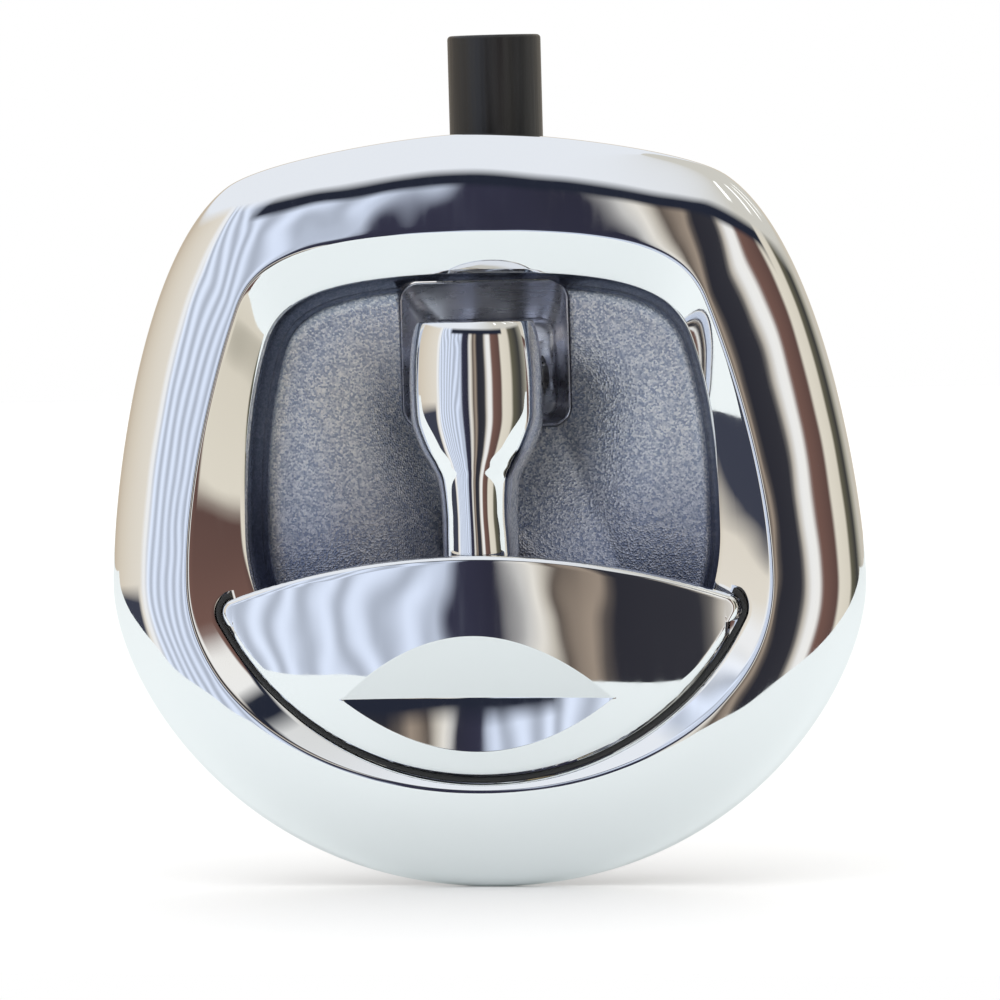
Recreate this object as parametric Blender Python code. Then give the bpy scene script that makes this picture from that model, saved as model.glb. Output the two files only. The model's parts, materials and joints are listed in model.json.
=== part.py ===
"""Flush lift-lever latch for a boat hatch, modelled as separate solids.

Constants are in millimetres and degrees; meshes are written in metres.
X points right, Z points up, and the front faces -Y. The plane y = 0 is the face of the panel
that the bezel sits on, and x = 0 is the plane of symmetry.
"""
import math

import bmesh
import bpy
import numpy as np
from mathutils import Vector

MM = 0.001

# Outlines, as half outlines of cubic Bezier points (x, z) from the bottom centre to the top centre.
BEZEL_OUTLINE = [
    [(0.0, -88.0), (60.0, -88.0), (90.5, -41.0), (90.5, -16.7)],
    [(90.5, -16.7), (90.5, -0.6), (83.0, 60.6), (60.0, 76.8)],
    [(60.0, 76.8), (51.2, 83.0), (15.0, 88.0), (0.0, 88.0)],
]
WINDOW_OUTLINE = [
    [(0.0, -64.8), (38.0, -64.8), (70.0, -45.0), (70.0, -16.0)],
    [(70.0, -16.0), (70.0, 2.0), (64.5, 26.0), (56.0, 48.5)],
    [(56.0, 48.5), (51.8, 59.5), (40.0, 65.6), (0.0, 65.6)],
]
PAN_OUTLINE = [
    [(0.0, -57.0), (30.0, -57.0), (57.0, -34.0), (57.0, -5.0)],
    [(57.0, -5.0), (57.0, 12.0), (55.5, 27.0), (51.0, 40.0)],
    [(51.0, 40.0), (47.2, 51.0), (36.0, 55.6), (0.0, 55.6)],
]
CENTRE_Z = -5.0
AROUND = 96

# Bezel section, from the outer edge to the window edge and down the ledge.
EDGE_Y = -0.3
SIDE_Y = -3.0
CREST_Y = -9.0
LEDGE_Y = -3.6
SHELF_Y = -5.5
SEAT_Y = -2.2
FOOT_Y = -1.5
DOME_POWER = 2.2
DOME_SWEEP = 72.0
DOME_STEPS = 8

# Crescent grip: two arcs through the tips, and a finger scoop.
GRIP_TIP_X = 63.2
GRIP_TIP_Z = -21.0
GRIP_TIP_RADIUS = 3.2
GRIP_TOP_Z = -9.7
GRIP_BOTTOM_Z = -61.3
GRIP_FRONT_Y = -15.2
GRIP_BOW_X = 0.00165
GRIP_BOW_Z = 0.0029
GRIP_BOW_CENTRE_Z = -18.0
GRIP_THICK = 2.9
GRIP_GAP = 2.2
SCOOP_HALF = 32.5
SCOOP_TOP_Z = -28.3
SCOOP_VALLEY_Z = -43.1
SCOOP_LOW_Z = -55.5
SCOOP_DEPTH = 5.2

# Lever stations from the top of the head to the neck: z, half width, front y, back y.
LEVER_STATIONS = [
    (44.5, 13.0, -13.2, -3.6),
    (44.0, 13.9, -14.2, -3.3),
    (40.0, 15.0, -15.2, -3.2),
    (33.0, 15.7, -15.7, -3.2),
    (26.0, 15.8, -15.8, -3.2),
    (20.5, 15.4, -15.5, -3.2),
    (15.0, 13.5, -14.9, -3.2),
    (10.8, 11.2, -14.2, -3.2),
    (7.0, 9.6, -13.5, -3.2),
    (0.0, 8.9, -12.8, -3.2),
    (-6.0, 8.9, -12.2, -3.2),
    (-12.0, 8.9, -11.7, -3.2),
]
LEVER_SECTION_POWER = 2.2
TONGUE_BACK_Y = -5.0
TONGUE_FRONT_Y = -10.7
TONGUE_LOW_Z = -29.0

# Pan and pivot cup.
FLOOR_Y = 5.5
PAN_WALL = 2.5
PAN_FILLET = 4.5
CUP_HALF = 20.2
CUP_TOP_Z = 53.4
CUP_LOW_Z = 19.4
CUP_FLOOR_Y = 13.5
CUP_WALL = 2.0
CUP_CORNER = 4.5

# Handle pivot and drive.
PIVOT_Y = 5.0
PIVOT_Z = 31.0
PIN_RADIUS = 3.0
FIT = 0.3

# Latch bolt and its carrier.
BOLT_RADIUS = 11.0
BOLT_Y = 22.0
BOLT_TOP_Z = 111.0
BOLT_LOW_Z = 70.3
BOLT_SCREW_Y = 24.0
CARRIER_FRONT_Y = 18.5
CARRIER_BACK_Y = 21.0
SLIDE_FRONT_Y = 21.3
SLIDE_BACK_Y = 23.3
SLIDE_TRAVEL = 5.66
BRACKET_Y = 27.5
BRACKET_THICK = 2.0
BRACKET_FOOT_Y = FLOOR_Y + PAN_WALL + FIT
BRACKET_TOP_Z = 59.0
GUIDE_SCREW = (13.6, 54.0)

# Return springs beside the carrier.
SPRING_X = 14.5
SPRING_Y = 18.5
SPRING_LOW_Z = -30.0
SPRING_TOP_Z = -2.3
SPRING_RADIUS = 3.6
SPRING_WIRE = 0.6

# Lock.
LOCK_Z = -27.0
CAM_THROW = 4.0

REST_PAD = (57.5, -26.0)
STUD_ANGLES = (40.0, 140.0, -42.0, -138.0)
PAN_SCREW_ANGLES = (66.0, 114.0, 6.0, 174.0)


# ---------------------------------------------------------------- outlines

def bezier_outline(half):
    """Return a dense closed outline from a half outline, mirrored in x = 0."""
    points = []
    for p0, p1, p2, p3 in half:
        for t in np.linspace(0.0, 1.0, 60, endpoint=False):
            a = (1 - t) ** 3
            b = 3 * t * (1 - t) ** 2
            c = 3 * t * t * (1 - t)
            d = t ** 3
            points.append(tuple(a * p0[k] + b * p1[k] + c * p2[k] + d * p3[k] for k in (0, 1)))
    points.append(half[-1][3])
    mirrored = [(-x, z) for x, z in reversed(points[1:-1])]
    return np.array(points + mirrored)


def polar_radius(outline, angles):
    """Radius of a star-shaped outline about (0, CENTRE_Z) at each angle, in radians."""
    bearing = np.arctan2(outline[:, 1] - CENTRE_Z, outline[:, 0])
    radius = np.hypot(outline[:, 0], outline[:, 1] - CENTRE_Z)
    order = np.argsort(bearing)
    return np.interp(angles, bearing[order], radius[order], period=2 * math.pi)


def circle_through_tips(mid_z):
    """Centre z and radius of the arc through both grip tips and (0, mid_z)."""
    rise = mid_z - GRIP_TIP_Z
    radius = (GRIP_TIP_X ** 2 + rise ** 2) / (2 * abs(rise))
    return mid_z - math.copysign(radius, rise), radius


def tip_centre():
    """Centre of the circle that rounds the grip's right tip."""
    top, top_radius = circle_through_tips(GRIP_TOP_Z)
    low, low_radius = circle_through_tips(GRIP_BOTTOM_Z)
    a = top_radius - GRIP_TIP_RADIUS
    b = low_radius - GRIP_TIP_RADIUS
    z = (a * a - b * b - top * top + low * low) / (2 * (low - top))
    return math.sqrt(a * a - (z - top) ** 2), z


def grip_outline(gap, steps=48):
    """Outline of the grip as (x, z), grown by a gap, anticlockwise from the top of the right tip."""
    top, top_radius = circle_through_tips(GRIP_TOP_Z)
    low, low_radius = circle_through_tips(GRIP_BOTTOM_Z)
    x, z = tip_centre()
    from_top = math.atan2(z - top, x)
    from_low = math.atan2(z - low, x)
    points = []
    for a in np.linspace(from_top, math.pi - from_top, steps):
        points.append(((top_radius + gap) * math.cos(a), top + (top_radius + gap) * math.sin(a)))
    for a in np.linspace(math.pi - from_top, math.pi - from_low, 8)[1:-1]:
        points.append((-x + (GRIP_TIP_RADIUS + gap) * math.cos(a), z + (GRIP_TIP_RADIUS + gap) * math.sin(a)))
    for a in np.linspace(-math.pi - from_low, from_low, steps):
        points.append(((low_radius + gap) * math.cos(a), low + (low_radius + gap) * math.sin(a)))
    for a in np.linspace(from_low, from_top, 8)[1:-1]:
        points.append((x + (GRIP_TIP_RADIUS + gap) * math.cos(a), z + (GRIP_TIP_RADIUS + gap) * math.sin(a)))
    return points


def grip_top(x):
    tip_x, tip_z = tip_centre()
    centre, radius = circle_through_tips(GRIP_TOP_Z)
    height = centre + math.sqrt(radius ** 2 - x * x)
    if abs(x) > tip_x:
        height = min(height, tip_z + math.sqrt(max(GRIP_TIP_RADIUS ** 2 - (abs(x) - tip_x) ** 2, 0.0)))
    return height


def grip_bottom(x):
    tip_x, tip_z = tip_centre()
    centre, radius = circle_through_tips(GRIP_BOTTOM_Z)
    height = centre - math.sqrt(radius ** 2 - x * x)
    if abs(x) > tip_x:
        height = max(height, tip_z - math.sqrt(max(GRIP_TIP_RADIUS ** 2 - (abs(x) - tip_x) ** 2, 0.0)))
    return height


ANGLES = np.linspace(-math.pi, math.pi, AROUND, endpoint=False) + math.pi / AROUND
OUTER = polar_radius(bezier_outline(BEZEL_OUTLINE), ANGLES)
WINDOW = polar_radius(bezier_outline(WINDOW_OUTLINE), ANGLES)
PAN = polar_radius(bezier_outline(PAN_OUTLINE), ANGLES)


# ---------------------------------------------------------------- meshes

def ring(radius, y):
    """Points round the frame's axis at the given radii and depths."""
    depth = np.broadcast_to(np.asarray(y, dtype=float), ANGLES.shape)
    radius = np.broadcast_to(np.asarray(radius, dtype=float), ANGLES.shape)
    return [(r * math.cos(a), d, CENTRE_Z + r * math.sin(a)) for r, a, d in zip(radius, ANGLES, depth)]


def rounded_box(half_x, z0, z1, corner, y, steps=5):
    """Points of a rounded rectangle in the plane of the given depth."""
    points = []
    corners = ((half_x, z1, 0), (-half_x, z1, 90), (-half_x, z0, 180), (half_x, z0, 270))
    for x, z, start in corners:
        cx = x - math.copysign(corner, x)
        cz = z - math.copysign(corner, z - (z0 + z1) / 2)
        for k in range(steps + 1):
            a = math.radians(start + 90 * k / steps)
            points.append((cx + corner * math.cos(a), y, cz + corner * math.sin(a)))
    return points


def circle_points(radius, count, start=0.0):
    return [(radius * math.cos(start + 2 * math.pi * k / count),
             radius * math.sin(start + 2 * math.pi * k / count)) for k in range(count)]


def on_axis(axis, u, v, w):
    """A point with w along the axis and u, v across it."""
    return {"x": (w, u, v), "y": (u, w, v), "z": (u, v, w)}[axis]


def loft(rings, closed):
    """A solid through rings of equal length: a closed tube of rings, or one with end caps."""
    bm = bmesh.new()
    rows = [[bm.verts.new(p) for p in points] for points in rings]
    count = len(rows[0])
    pairs = list(zip(rows, rows[1:]))
    if closed:
        pairs.append((rows[-1], rows[0]))
    for low, high in pairs:
        for k in range(count):
            n = (k + 1) % count
            bm.faces.new((low[k], low[n], high[n], high[k]))
    if not closed:
        bm.faces.new(rows[0])
        bm.faces.new(rows[-1])
    bmesh.ops.recalc_face_normals(bm, faces=bm.faces)
    return bm


def prism(outline, axis, low, high):
    """Extrude a flat outline of (u, v) points along an axis."""
    return loft([[on_axis(axis, u, v, w) for u, v in outline] for w in (low, high)], False)


def cylinder(axis, centre, radius, low, high, count=24):
    outline = [(centre[0] + u, centre[1] + v) for u, v in circle_points(radius, count)]
    return prism(outline, axis, low, high)


def turned(axis, centre, profile, count=24):
    """A solid of revolution through (radius, distance along the axis) pairs."""
    rings = []
    for radius, w in profile:
        rings.append([on_axis(axis, centre[0] + u, centre[1] + v, w) for u, v in circle_points(radius, count)])
    return loft(rings, False)


def washer(axis, centre, inner, outer, low, high, count=24):
    """A flat ring along an axis."""
    rings = []
    for radius, w in ((inner, low), (outer, low), (outer, high), (inner, high)):
        rings.append([on_axis(axis, centre[0] + u, centre[1] + v, w) for u, v in circle_points(radius, count)])
    return loft(rings, True)


def box(x0, x1, y0, y1, z0, z1):
    return prism([(x0, z0), (x1, z0), (x1, z1), (x0, z1)], "y", y0, y1)


def polyline_tube(points, radius, sides=5):
    """A round wire along a list of points, with end caps."""
    path = [Vector(p) for p in points]
    rings = []
    side = None
    for k, point in enumerate(path):
        ahead = path[min(k + 1, len(path) - 1)] - path[max(k - 1, 0)]
        ahead.normalize()
        if side is None:
            side = ahead.orthogonal().normalized()
        side = (side - ahead * side.dot(ahead)).normalized()
        up = ahead.cross(side)
        rings.append([tuple(point + side * (radius * u) + up * (radius * v)) for u, v in circle_points(1.0, sides)])
    return loft(rings, False)


# ---------------------------------------------------------------- scene objects

def clear_scene():
    for existing in list(bpy.data.objects):
        bpy.data.objects.remove(existing)


def make_material(name, colour, roughness, metallic):
    material = bpy.data.materials.new(name)
    material.use_nodes = True
    shader = material.node_tree.nodes["Principled BSDF"]
    shader.inputs["Base Color"].default_value = (*colour, 1.0)
    shader.inputs["Roughness"].default_value = roughness
    shader.inputs["Metallic"].default_value = metallic
    material.diffuse_color = (*colour, 1.0)
    return material


def make_empty(name, location, parent=None):
    empty = bpy.data.objects.new(name, None)
    bpy.context.collection.objects.link(empty)
    empty.location = Vector(location) * MM
    if parent is not None:
        empty.parent = parent
        empty.location = Vector(location) * MM - world_origin(parent)
    return empty


def world_origin(empty):
    origin = empty.location.copy()
    if empty.parent is not None:
        origin += world_origin(empty.parent)
    return origin


def make_object(name, bm, material, parent=None):
    """Turn a millimetre mesh in world axes into an object, under its moving parent if it has one."""
    origin = world_origin(parent) if parent is not None else Vector((0.0, 0.0, 0.0))
    for vert in bm.verts:
        vert.co = vert.co * MM - origin
    mesh = bpy.data.meshes.new(name)
    bm.to_mesh(mesh)
    bm.free()
    mesh.materials.append(material)
    mesh.shade_smooth()
    mesh.set_sharp_from_angle(angle=math.radians(32))
    item = bpy.data.objects.new(name, mesh)
    bpy.context.collection.objects.link(item)
    item.parent = parent
    return item


def modify(item, bm, operation):
    """Cut a millimetre mesh out of an object, or join it on."""
    tool = make_object(f"{item.name}_{operation.lower()}", bm, item.active_material, item.parent)
    tool.hide_render = True
    tool.display_type = "WIRE"
    modifier = item.modifiers.new(tool.name, "BOOLEAN")
    modifier.operation = operation
    modifier.object = tool


def cut(item, *meshes):
    for bm in meshes:
        modify(item, bm, "DIFFERENCE")


def join(item, *meshes):
    for bm in meshes:
        modify(item, bm, "UNION")


# ---------------------------------------------------------------- fixed sub-parts

def polar_point(radius_list, angle, inset):
    """The (x, z) point at an angle, inset from an outline."""
    a = math.radians(angle)
    radius = float(np.interp(a, ANGLES, radius_list, period=2 * math.pi)) + inset
    return radius * math.cos(a), CENTRE_Z + radius * math.sin(a)


STUD_POINTS = [polar_point(WINDOW, angle, 7.0) for angle in STUD_ANGLES]
PAN_SCREW_POINTS = [polar_point(PAN, angle, 5.0) for angle in PAN_SCREW_ANGLES]


def dome_rings():
    """Rings of the bezel's domed front, from its outer edge to the window edge."""
    rings = []
    top = math.sin(math.radians(DOME_SWEEP)) ** (2 / DOME_POWER)
    full = 1 - math.cos(math.radians(DOME_SWEEP)) ** (2 / DOME_POWER)
    for k in range(DOME_STEPS + 1):
        a = math.radians(DOME_SWEEP * k / DOME_STEPS)
        across = (1 - math.cos(a) ** (2 / DOME_POWER)) / full
        rise = math.sin(a) ** (2 / DOME_POWER) / top
        rings.append(ring(OUTER + (WINDOW - OUTER) * across, SIDE_Y + (CREST_Y - SIDE_Y) * rise))
    return rings


def build_bezel(chrome):
    rings = [ring(OUTER, EDGE_Y)] + dome_rings()
    rings += [ring(PAN, LEDGE_Y), ring(PAN - 0.2, SEAT_Y), ring(PAN + 8.4, SEAT_Y)]
    rings += [ring(WINDOW + 2.6, CREST_Y + 3.0), ring(0.5 * (WINDOW + OUTER) - 2.0, CREST_Y + 3.2)]
    rings += [ring(OUTER - 8.0, FOOT_Y - 1.6), ring(OUTER - 8.0, FOOT_Y)]
    rings += [ring(OUTER - 2.0, FOOT_Y), ring(OUTER - 2.0, EDGE_Y)]
    bezel = make_object("outer_bezel", loft(rings, True), chrome)
    cut(bezel, prism(grip_outline(GRIP_GAP), "y", CREST_Y - 4.0, SHELF_Y))
    for side in (-1, 1):
        cut(bezel, cylinder("y", (side * REST_PAD[0], REST_PAD[1]), 2.0, SHELF_Y - 1.0, SHELF_Y + 2.0, 14))
    for x, z in STUD_POINTS:
        join(bezel, cylinder("y", (x, z), 4.4, CREST_Y + 3.4, FOOT_Y, 20))
        cut(bezel, cylinder("y", (x, z), 2.8, -4.8, 2.0, 16))
    for x, z in PAN_SCREW_POINTS:
        cut(bezel, cylinder("y", (x, z), 1.6, -5.2, 0.0, 12))


def build_gasket(rubber):
    rings = [ring(OUTER - 7.6, -1.2), ring(OUTER - 2.4, -1.2), ring(OUTER - 2.4, 0.0), ring(OUTER - 7.6, 0.0)]
    make_object("flange_gasket", loft(rings, True), rubber)


def build_pan(grained):
    mouth = PAN - 0.2
    base = mouth - 2.4
    inner = []
    for k in range(4):
        a = math.radians(90 * k / 3)
        inner.append(ring(base - PAN_FILLET * (1 - math.sin(a)), FLOOR_Y - PAN_FILLET * (1 - math.cos(a))))
    rim_y = SEAT_Y + FIT
    back = FLOOR_Y + PAN_WALL
    rings = inner + [ring(mouth, rim_y), ring(mouth + 7.9, rim_y), ring(mouth + 7.9, rim_y + 2.0)]
    rings += [ring(mouth + 2.2, rim_y + 2.0), ring(base + 2.0, FLOOR_Y - 1.5), ring(base - 1.0, back)]
    pan = make_object("recess_pan", loft(rings, False), grained)
    hole = [rounded_box(CUP_HALF + 0.4, CUP_LOW_Z - 0.4, CUP_TOP_Z + 0.4, CUP_CORNER + 0.4, y) for y in (-2.0, 12.0)]
    cut(pan, loft(hole, False))
    cut(pan, cylinder("y", (0.0, LOCK_Z), 8.3, 0.0, 12.0, 24))
    for x, z in PAN_SCREW_POINTS:
        cut(pan, cylinder("y", (x, z), 1.6, -4.0, 3.0, 12))


def build_cup(polished):
    """The pocket behind the lever's head, with two lugs for the pivot pin."""
    rim_y = FLOOR_Y - 0.3
    flange_y = FLOOR_Y + PAN_WALL + FIT
    rings = [
        rounded_box(15.2, 20.8, 44.5, 4.0, CUP_FLOOR_Y),
        rounded_box(CUP_HALF - 1.0, CUP_LOW_Z + 0.7, CUP_TOP_Z - 1.0, CUP_CORNER - 1.0, rim_y),
        rounded_box(CUP_HALF, CUP_LOW_Z, CUP_TOP_Z, CUP_CORNER, rim_y),
        rounded_box(CUP_HALF, CUP_LOW_Z, CUP_TOP_Z, CUP_CORNER, flange_y),
        rounded_box(CUP_HALF + 4.0, CUP_LOW_Z - 3.0, CUP_TOP_Z - 0.5, CUP_CORNER + 1.0, flange_y),
        rounded_box(CUP_HALF + 4.0, CUP_LOW_Z - 3.0, CUP_TOP_Z - 0.5, CUP_CORNER + 1.0, flange_y + 1.8),
        rounded_box(CUP_HALF + 0.6, CUP_LOW_Z - 0.6, CUP_TOP_Z - 2.6, CUP_CORNER, flange_y + 1.8),
        rounded_box(17.6, 18.6, 47.0, 5.0, CUP_FLOOR_Y + CUP_WALL),
    ]
    cup = make_object("pivot_cup", loft(rings, False), polished)
    for side in (-1, 1):
        inner, outer = sorted((side * 6.4, side * 8.9))
        lug = [(CUP_FLOOR_Y + 0.6, 23.5), (CUP_FLOOR_Y + 0.6, 38.5)]
        lug += [(PIVOT_Y + 5.5 * math.cos(a), PIVOT_Z + 5.5 * math.sin(a))
                for a in np.radians(np.linspace(75, 285, 9))]
        join(cup, prism(lug, "x", inner, outer))
        cut(cup, cylinder("x", (PIVOT_Y, PIVOT_Z), PIN_RADIUS + FIT, inner - 1.0, outer + 1.0, 20))
    cut(cup, box(-3.2, 3.2, 10.0, 18.0, 21.5, 34.2))


def build_seal(rubber):
    """A rubber bead on the shelf round the grip's lower edge and its tips."""
    inner = grip_outline(0.4)[48:-1]
    outer = grip_outline(1.9)[48:-1]
    rows = []
    for (x0, z0), (x1, z1) in zip(inner, outer):
        rows.append([(x0, y, z0) for y in (SHELF_Y - FIT, -7.4)] + [(x1, y, z1) for y in (-7.4, SHELF_Y - FIT)])
    make_object("grip_seat_seal", loft(rows, False), rubber)


def build_rest_pads(rubber):
    for name, side in (("rest_pad_left", -1), ("rest_pad_right", 1)):
        pad = cylinder("y", (side * REST_PAD[0], REST_PAD[1]), 1.7, SHELF_Y - 0.3, SHELF_Y + 1.7, 14)
        make_object(name, pad, rubber)


def hex_outline(centre, across):
    return [(centre[0] + u, centre[1] + v) for u, v in circle_points(across / math.sqrt(3), 6)]


def cap_screw(axis, centre, shank, head, tip, seat, end, count=14):
    """A screw with its tip, the seat under its head and the end of its head along an axis."""
    profile = ((shank, tip), (shank, seat), (head, seat), (head, end))
    return turned(axis, centre, profile, count)


def build_pan_screws(steel):
    for k, (x, z) in enumerate(PAN_SCREW_POINTS, 1):
        make_object(f"pan_screw_{k}", cap_screw("y", (x, z), 1.3, 2.2, -4.9, 0.4, 1.8), steel)


def build_studs(steel):
    """Four studs, each with a clamp dog that reaches out behind the panel and a nut."""
    for k, (x, z) in enumerate(STUD_POINTS, 1):
        make_object(f"mounting_stud_{k}", cylinder("y", (x, z), 2.5, -4.5, 22.0, 16), steel)
        out = Vector((x, 0.0, z - CENTRE_Z)).normalized()
        across = Vector((out.z, 0.0, -out.x))
        side_view = [(-4.5, 9.0), (9.5, 9.0), (9.5, 3.2), (6.0, 3.2), (6.0, 6.0), (-4.5, 6.0)]
        faces = [[(x + out.x * u + across.x * v, y, z + out.z * u + across.z * v) for u, y in side_view]
                 for v in (-5.0, 5.0)]
        dog = make_object(f"clamp_dog_{k}", loft(faces, False), steel)
        cut(dog, cylinder("y", (x, z), 2.8, 0.0, 12.0, 16))
        nut = make_object(f"stud_nut_{k}", prism(hex_outline((x, z), 8.0), "y", 9.3, 13.3), steel)
        cut(nut, cylinder("y", (x, z), 2.8, 8.0, 15.0, 16))


def build_bracket(steel):
    """A hat-section bracket behind the pan that carries the bolt guide and the spring seats."""
    web = 27.0
    back = BRACKET_Y + BRACKET_THICK
    foot = BRACKET_FOOT_Y
    half = [(web + 7.0, foot), (web + 7.0, foot + 2.0), (web, foot + 2.0), (web, back)]
    inner = [(web - BRACKET_THICK, BRACKET_Y), (web - BRACKET_THICK, foot)]
    outline = half + [(-x, y) for x, y in reversed(half)]
    outline += [(-x, y) for x, y in inner[::-1]] + inner
    bracket = make_object("rear_bracket", prism(outline, "z", -46.0, 50.0), steel)
    join(bracket, box(-17.0, 17.0, BRACKET_Y, back, 40.0, BRACKET_TOP_Z))
    seat_x = SPRING_X + 5.0
    join(bracket, box(-seat_x, seat_x, 14.0, BRACKET_Y + 1.0, SPRING_LOW_Z - 2.8, SPRING_LOW_Z - FIT))
    cut(bracket, box(-12.0, 12.0, 10.0, 26.0, -40.0, -20.0))
    cut(bracket, box(-10.0, 10.0, 26.0, 32.0, -18.0, 6.0))
    cut(bracket, box(-10.0, 10.0, 26.0, 32.0, 18.0, 42.0))
    for side in (-1, 1):
        cut(bracket, cylinder("z", (side * SPRING_X, SPRING_Y), 1.9, -36.0, -28.0, 14))
        for z in (-36.0, 6.0):
            cut(bracket, cylinder("y", (side * 30.5, z), 1.9, 6.0, 12.0, 14))
        cut(bracket, cylinder("y", (side * GUIDE_SCREW[0], GUIDE_SCREW[1]), 1.6, 26.0, 32.0, 14))


def build_bracket_screws(steel):
    k = 0
    for side in (-1, 1):
        for z in (-36.0, 6.0):
            k += 1
            make_object(f"bracket_screw_{k}", cap_screw("y", (side * 30.5, z), 1.5, 2.8, BRACKET_FOOT_Y, 10.6, 12.8), steel)


def build_bolt_guide(plastic, steel):
    """A bored block round the bolt, on two legs that screw to the back of the bracket."""
    low = BOLT_Y - BOLT_RADIUS - 2.4
    high = BOLT_Y + BOLT_RADIUS + 2.4
    leg_y = BRACKET_Y + BRACKET_THICK + FIT
    guide = make_object("bolt_guide", box(-16.0, 16.0, low, high, 72.8, 81.4), plastic)
    for k, side in enumerate((-1, 1), 1):
        inner, outer = sorted((side * 11.2, side * 16.0))
        join(guide, box(inner, outer, leg_y, high, 46.0, 74.0))
        screw_at = (side * GUIDE_SCREW[0], GUIDE_SCREW[1])
        cut(guide, cylinder("y", screw_at, 1.6, 28.0, 38.0, 14))
        make_object(f"guide_screw_{k}", cap_screw("y", screw_at, 1.3, 2.3, 26.2, high + FIT, high + 2.2), steel)
    cut(guide, cylinder("z", (0.0, BOLT_Y), BOLT_RADIUS + FIT, 70.0, 90.0, 36))


# ---------------------------------------------------------------- handle

def lever_ring(z, half, front, back, steps=9):
    """A half-round front with a flat back, at one height."""
    points = []
    for k in range(steps * 2 + 1):
        a = math.pi * k / (steps * 2)
        x = math.copysign(abs(math.cos(a)) ** (2 / LEVER_SECTION_POWER), math.cos(a)) * half
        y = back + (front - back) * math.sin(a) ** (2 / LEVER_SECTION_POWER)
        points.append((x, y, z))
    return points


def build_lever(chrome, axis):
    lever = make_object("lever", loft([lever_ring(*station) for station in LEVER_STATIONS], False), chrome, axis)
    cut(lever, box(-8.7, 8.7, -11.0, 2.0, 22.0, 60.0))
    join(lever, box(-8.0, 8.0, TONGUE_FRONT_Y, TONGUE_BACK_Y, TONGUE_LOW_Z, -8.0))
    for side in (-1, 1):
        inner, outer = sorted((side * 9.3, side * 12.6))
        cheek = [(-6.0, 24.0), (-6.0, 38.0)]
        cheek += [(PIVOT_Y + 5.2 * math.cos(a), PIVOT_Z + 5.2 * math.sin(a))
                  for a in np.radians(np.linspace(80, -80, 8))]
        join(lever, prism(cheek, "x", inner, outer))
        cut(lever, cylinder("x", (PIVOT_Y, PIVOT_Z), PIN_RADIUS + FIT, inner - 0.5, outer + 1.0, 20))
    for z in (-16.5, -24.5):
        cut(lever, cylinder("y", (0.0, z), 1.9, -12.0, -3.0, 14))


def grip_front(x, z):
    """Depth of the grip's front surface, with the finger scoop."""
    depth = GRIP_FRONT_Y + GRIP_BOW_X * x * x + GRIP_BOW_Z * (z - GRIP_BOW_CENTRE_Z) ** 2
    shape = 1 - (x / SCOOP_HALF) ** 2
    if shape > 0:
        above = (SCOOP_TOP_Z - SCOOP_VALLEY_Z) * shape
        below = (SCOOP_VALLEY_Z - SCOOP_LOW_Z) * shape
        height = z - SCOOP_VALLEY_Z
        part = 1 - (height / above if height > 0 else -height / below)
        depth += SCOOP_DEPTH * shape * max(part, 0.0)
    return depth


def grip_rows(x):
    """Heights at which the grip is sampled, so that rows follow the scoop's creases."""
    low = grip_bottom(x)
    high = grip_top(x)
    shape = max(1 - (x / SCOOP_HALF) ** 2, 0.03)
    settle = min(max((abs(x) - SCOOP_HALF) / 12.0, 0.0), 1.0)
    valley = SCOOP_VALLEY_Z + ((low + high) / 2 - SCOOP_VALLEY_Z) * settle
    squeeze = min(1.0, (high - low) / 30.0)
    under = valley - (SCOOP_VALLEY_Z - SCOOP_LOW_Z) * shape * squeeze
    over = valley + (SCOOP_TOP_Z - SCOOP_VALLEY_Z) * shape * squeeze
    return [low, (low + under) / 2, under, valley, over, (over + high) / 2, high]


def grip_stations():
    """Columns across the grip, closer together round its tips."""
    tip_x, _ = tip_centre()
    middle = list(np.linspace(-tip_x, tip_x, 41))
    turns = [tip_x + GRIP_TIP_RADIUS * math.sin(math.radians(a)) for a in (22, 45, 65, 84)]
    return [-x for x in reversed(turns)] + middle + turns


def build_grip(chrome, steel, axis):
    columns = []
    for x in grip_stations():
        heights = grip_rows(x)
        front = [(x, grip_front(x, z), z) for z in heights]
        back = [(x, grip_front(x, z) + GRIP_THICK, z) for z in reversed(heights)]
        columns.append(front + back)
    grip = make_object("crescent_grip", loft(columns, False), chrome, axis)
    join(grip, box(-8.0, 8.0, -13.4, TONGUE_FRONT_Y - FIT, -28.0, -12.6))
    for k, z in enumerate((-16.5, -24.5), 1):
        cut(grip, cylinder("y", (0.0, z), 1.8, -13.9, -9.0, 14))
        make_object(f"grip_screw_{k}", cap_screw("y", (0.0, z), 1.5, 3.0, -13.6, -4.7, -2.9), steel, axis)


def build_pivot(steel, spring_steel, axis):
    make_object("pivot_pin", cylinder("x", (PIVOT_Y, PIVOT_Z), PIN_RADIUS, -14.6, 14.6, 20), steel, axis)
    for name, side in (("pivot_clip_left", -1), ("pivot_clip_right", 1)):
        low, high = sorted((side * 12.9, side * 13.8))
        clip = washer("x", (PIVOT_Y, PIVOT_Z), PIN_RADIUS + FIT, 4.8, low, high, 20)
        make_object(name, clip, spring_steel, axis)
    arm_outline = [(PIVOT_Y + 5.0 * math.cos(a), PIVOT_Z + 5.0 * math.sin(a))
                   for a in np.radians(np.linspace(24, 336, 13))]
    arm_outline += [(24.4, PIVOT_Z - 2.0), (25.4, PIVOT_Z - 1.0), (25.4, PIVOT_Z + 1.0), (24.4, PIVOT_Z + 2.0)]
    arm = make_object("drive_arm", prism(arm_outline, "x", -2.0, 2.0), steel, axis)
    cut(arm, cylinder("x", (PIVOT_Y, PIVOT_Z), PIN_RADIUS + FIT, -3.0, 3.0, 20))


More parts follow.
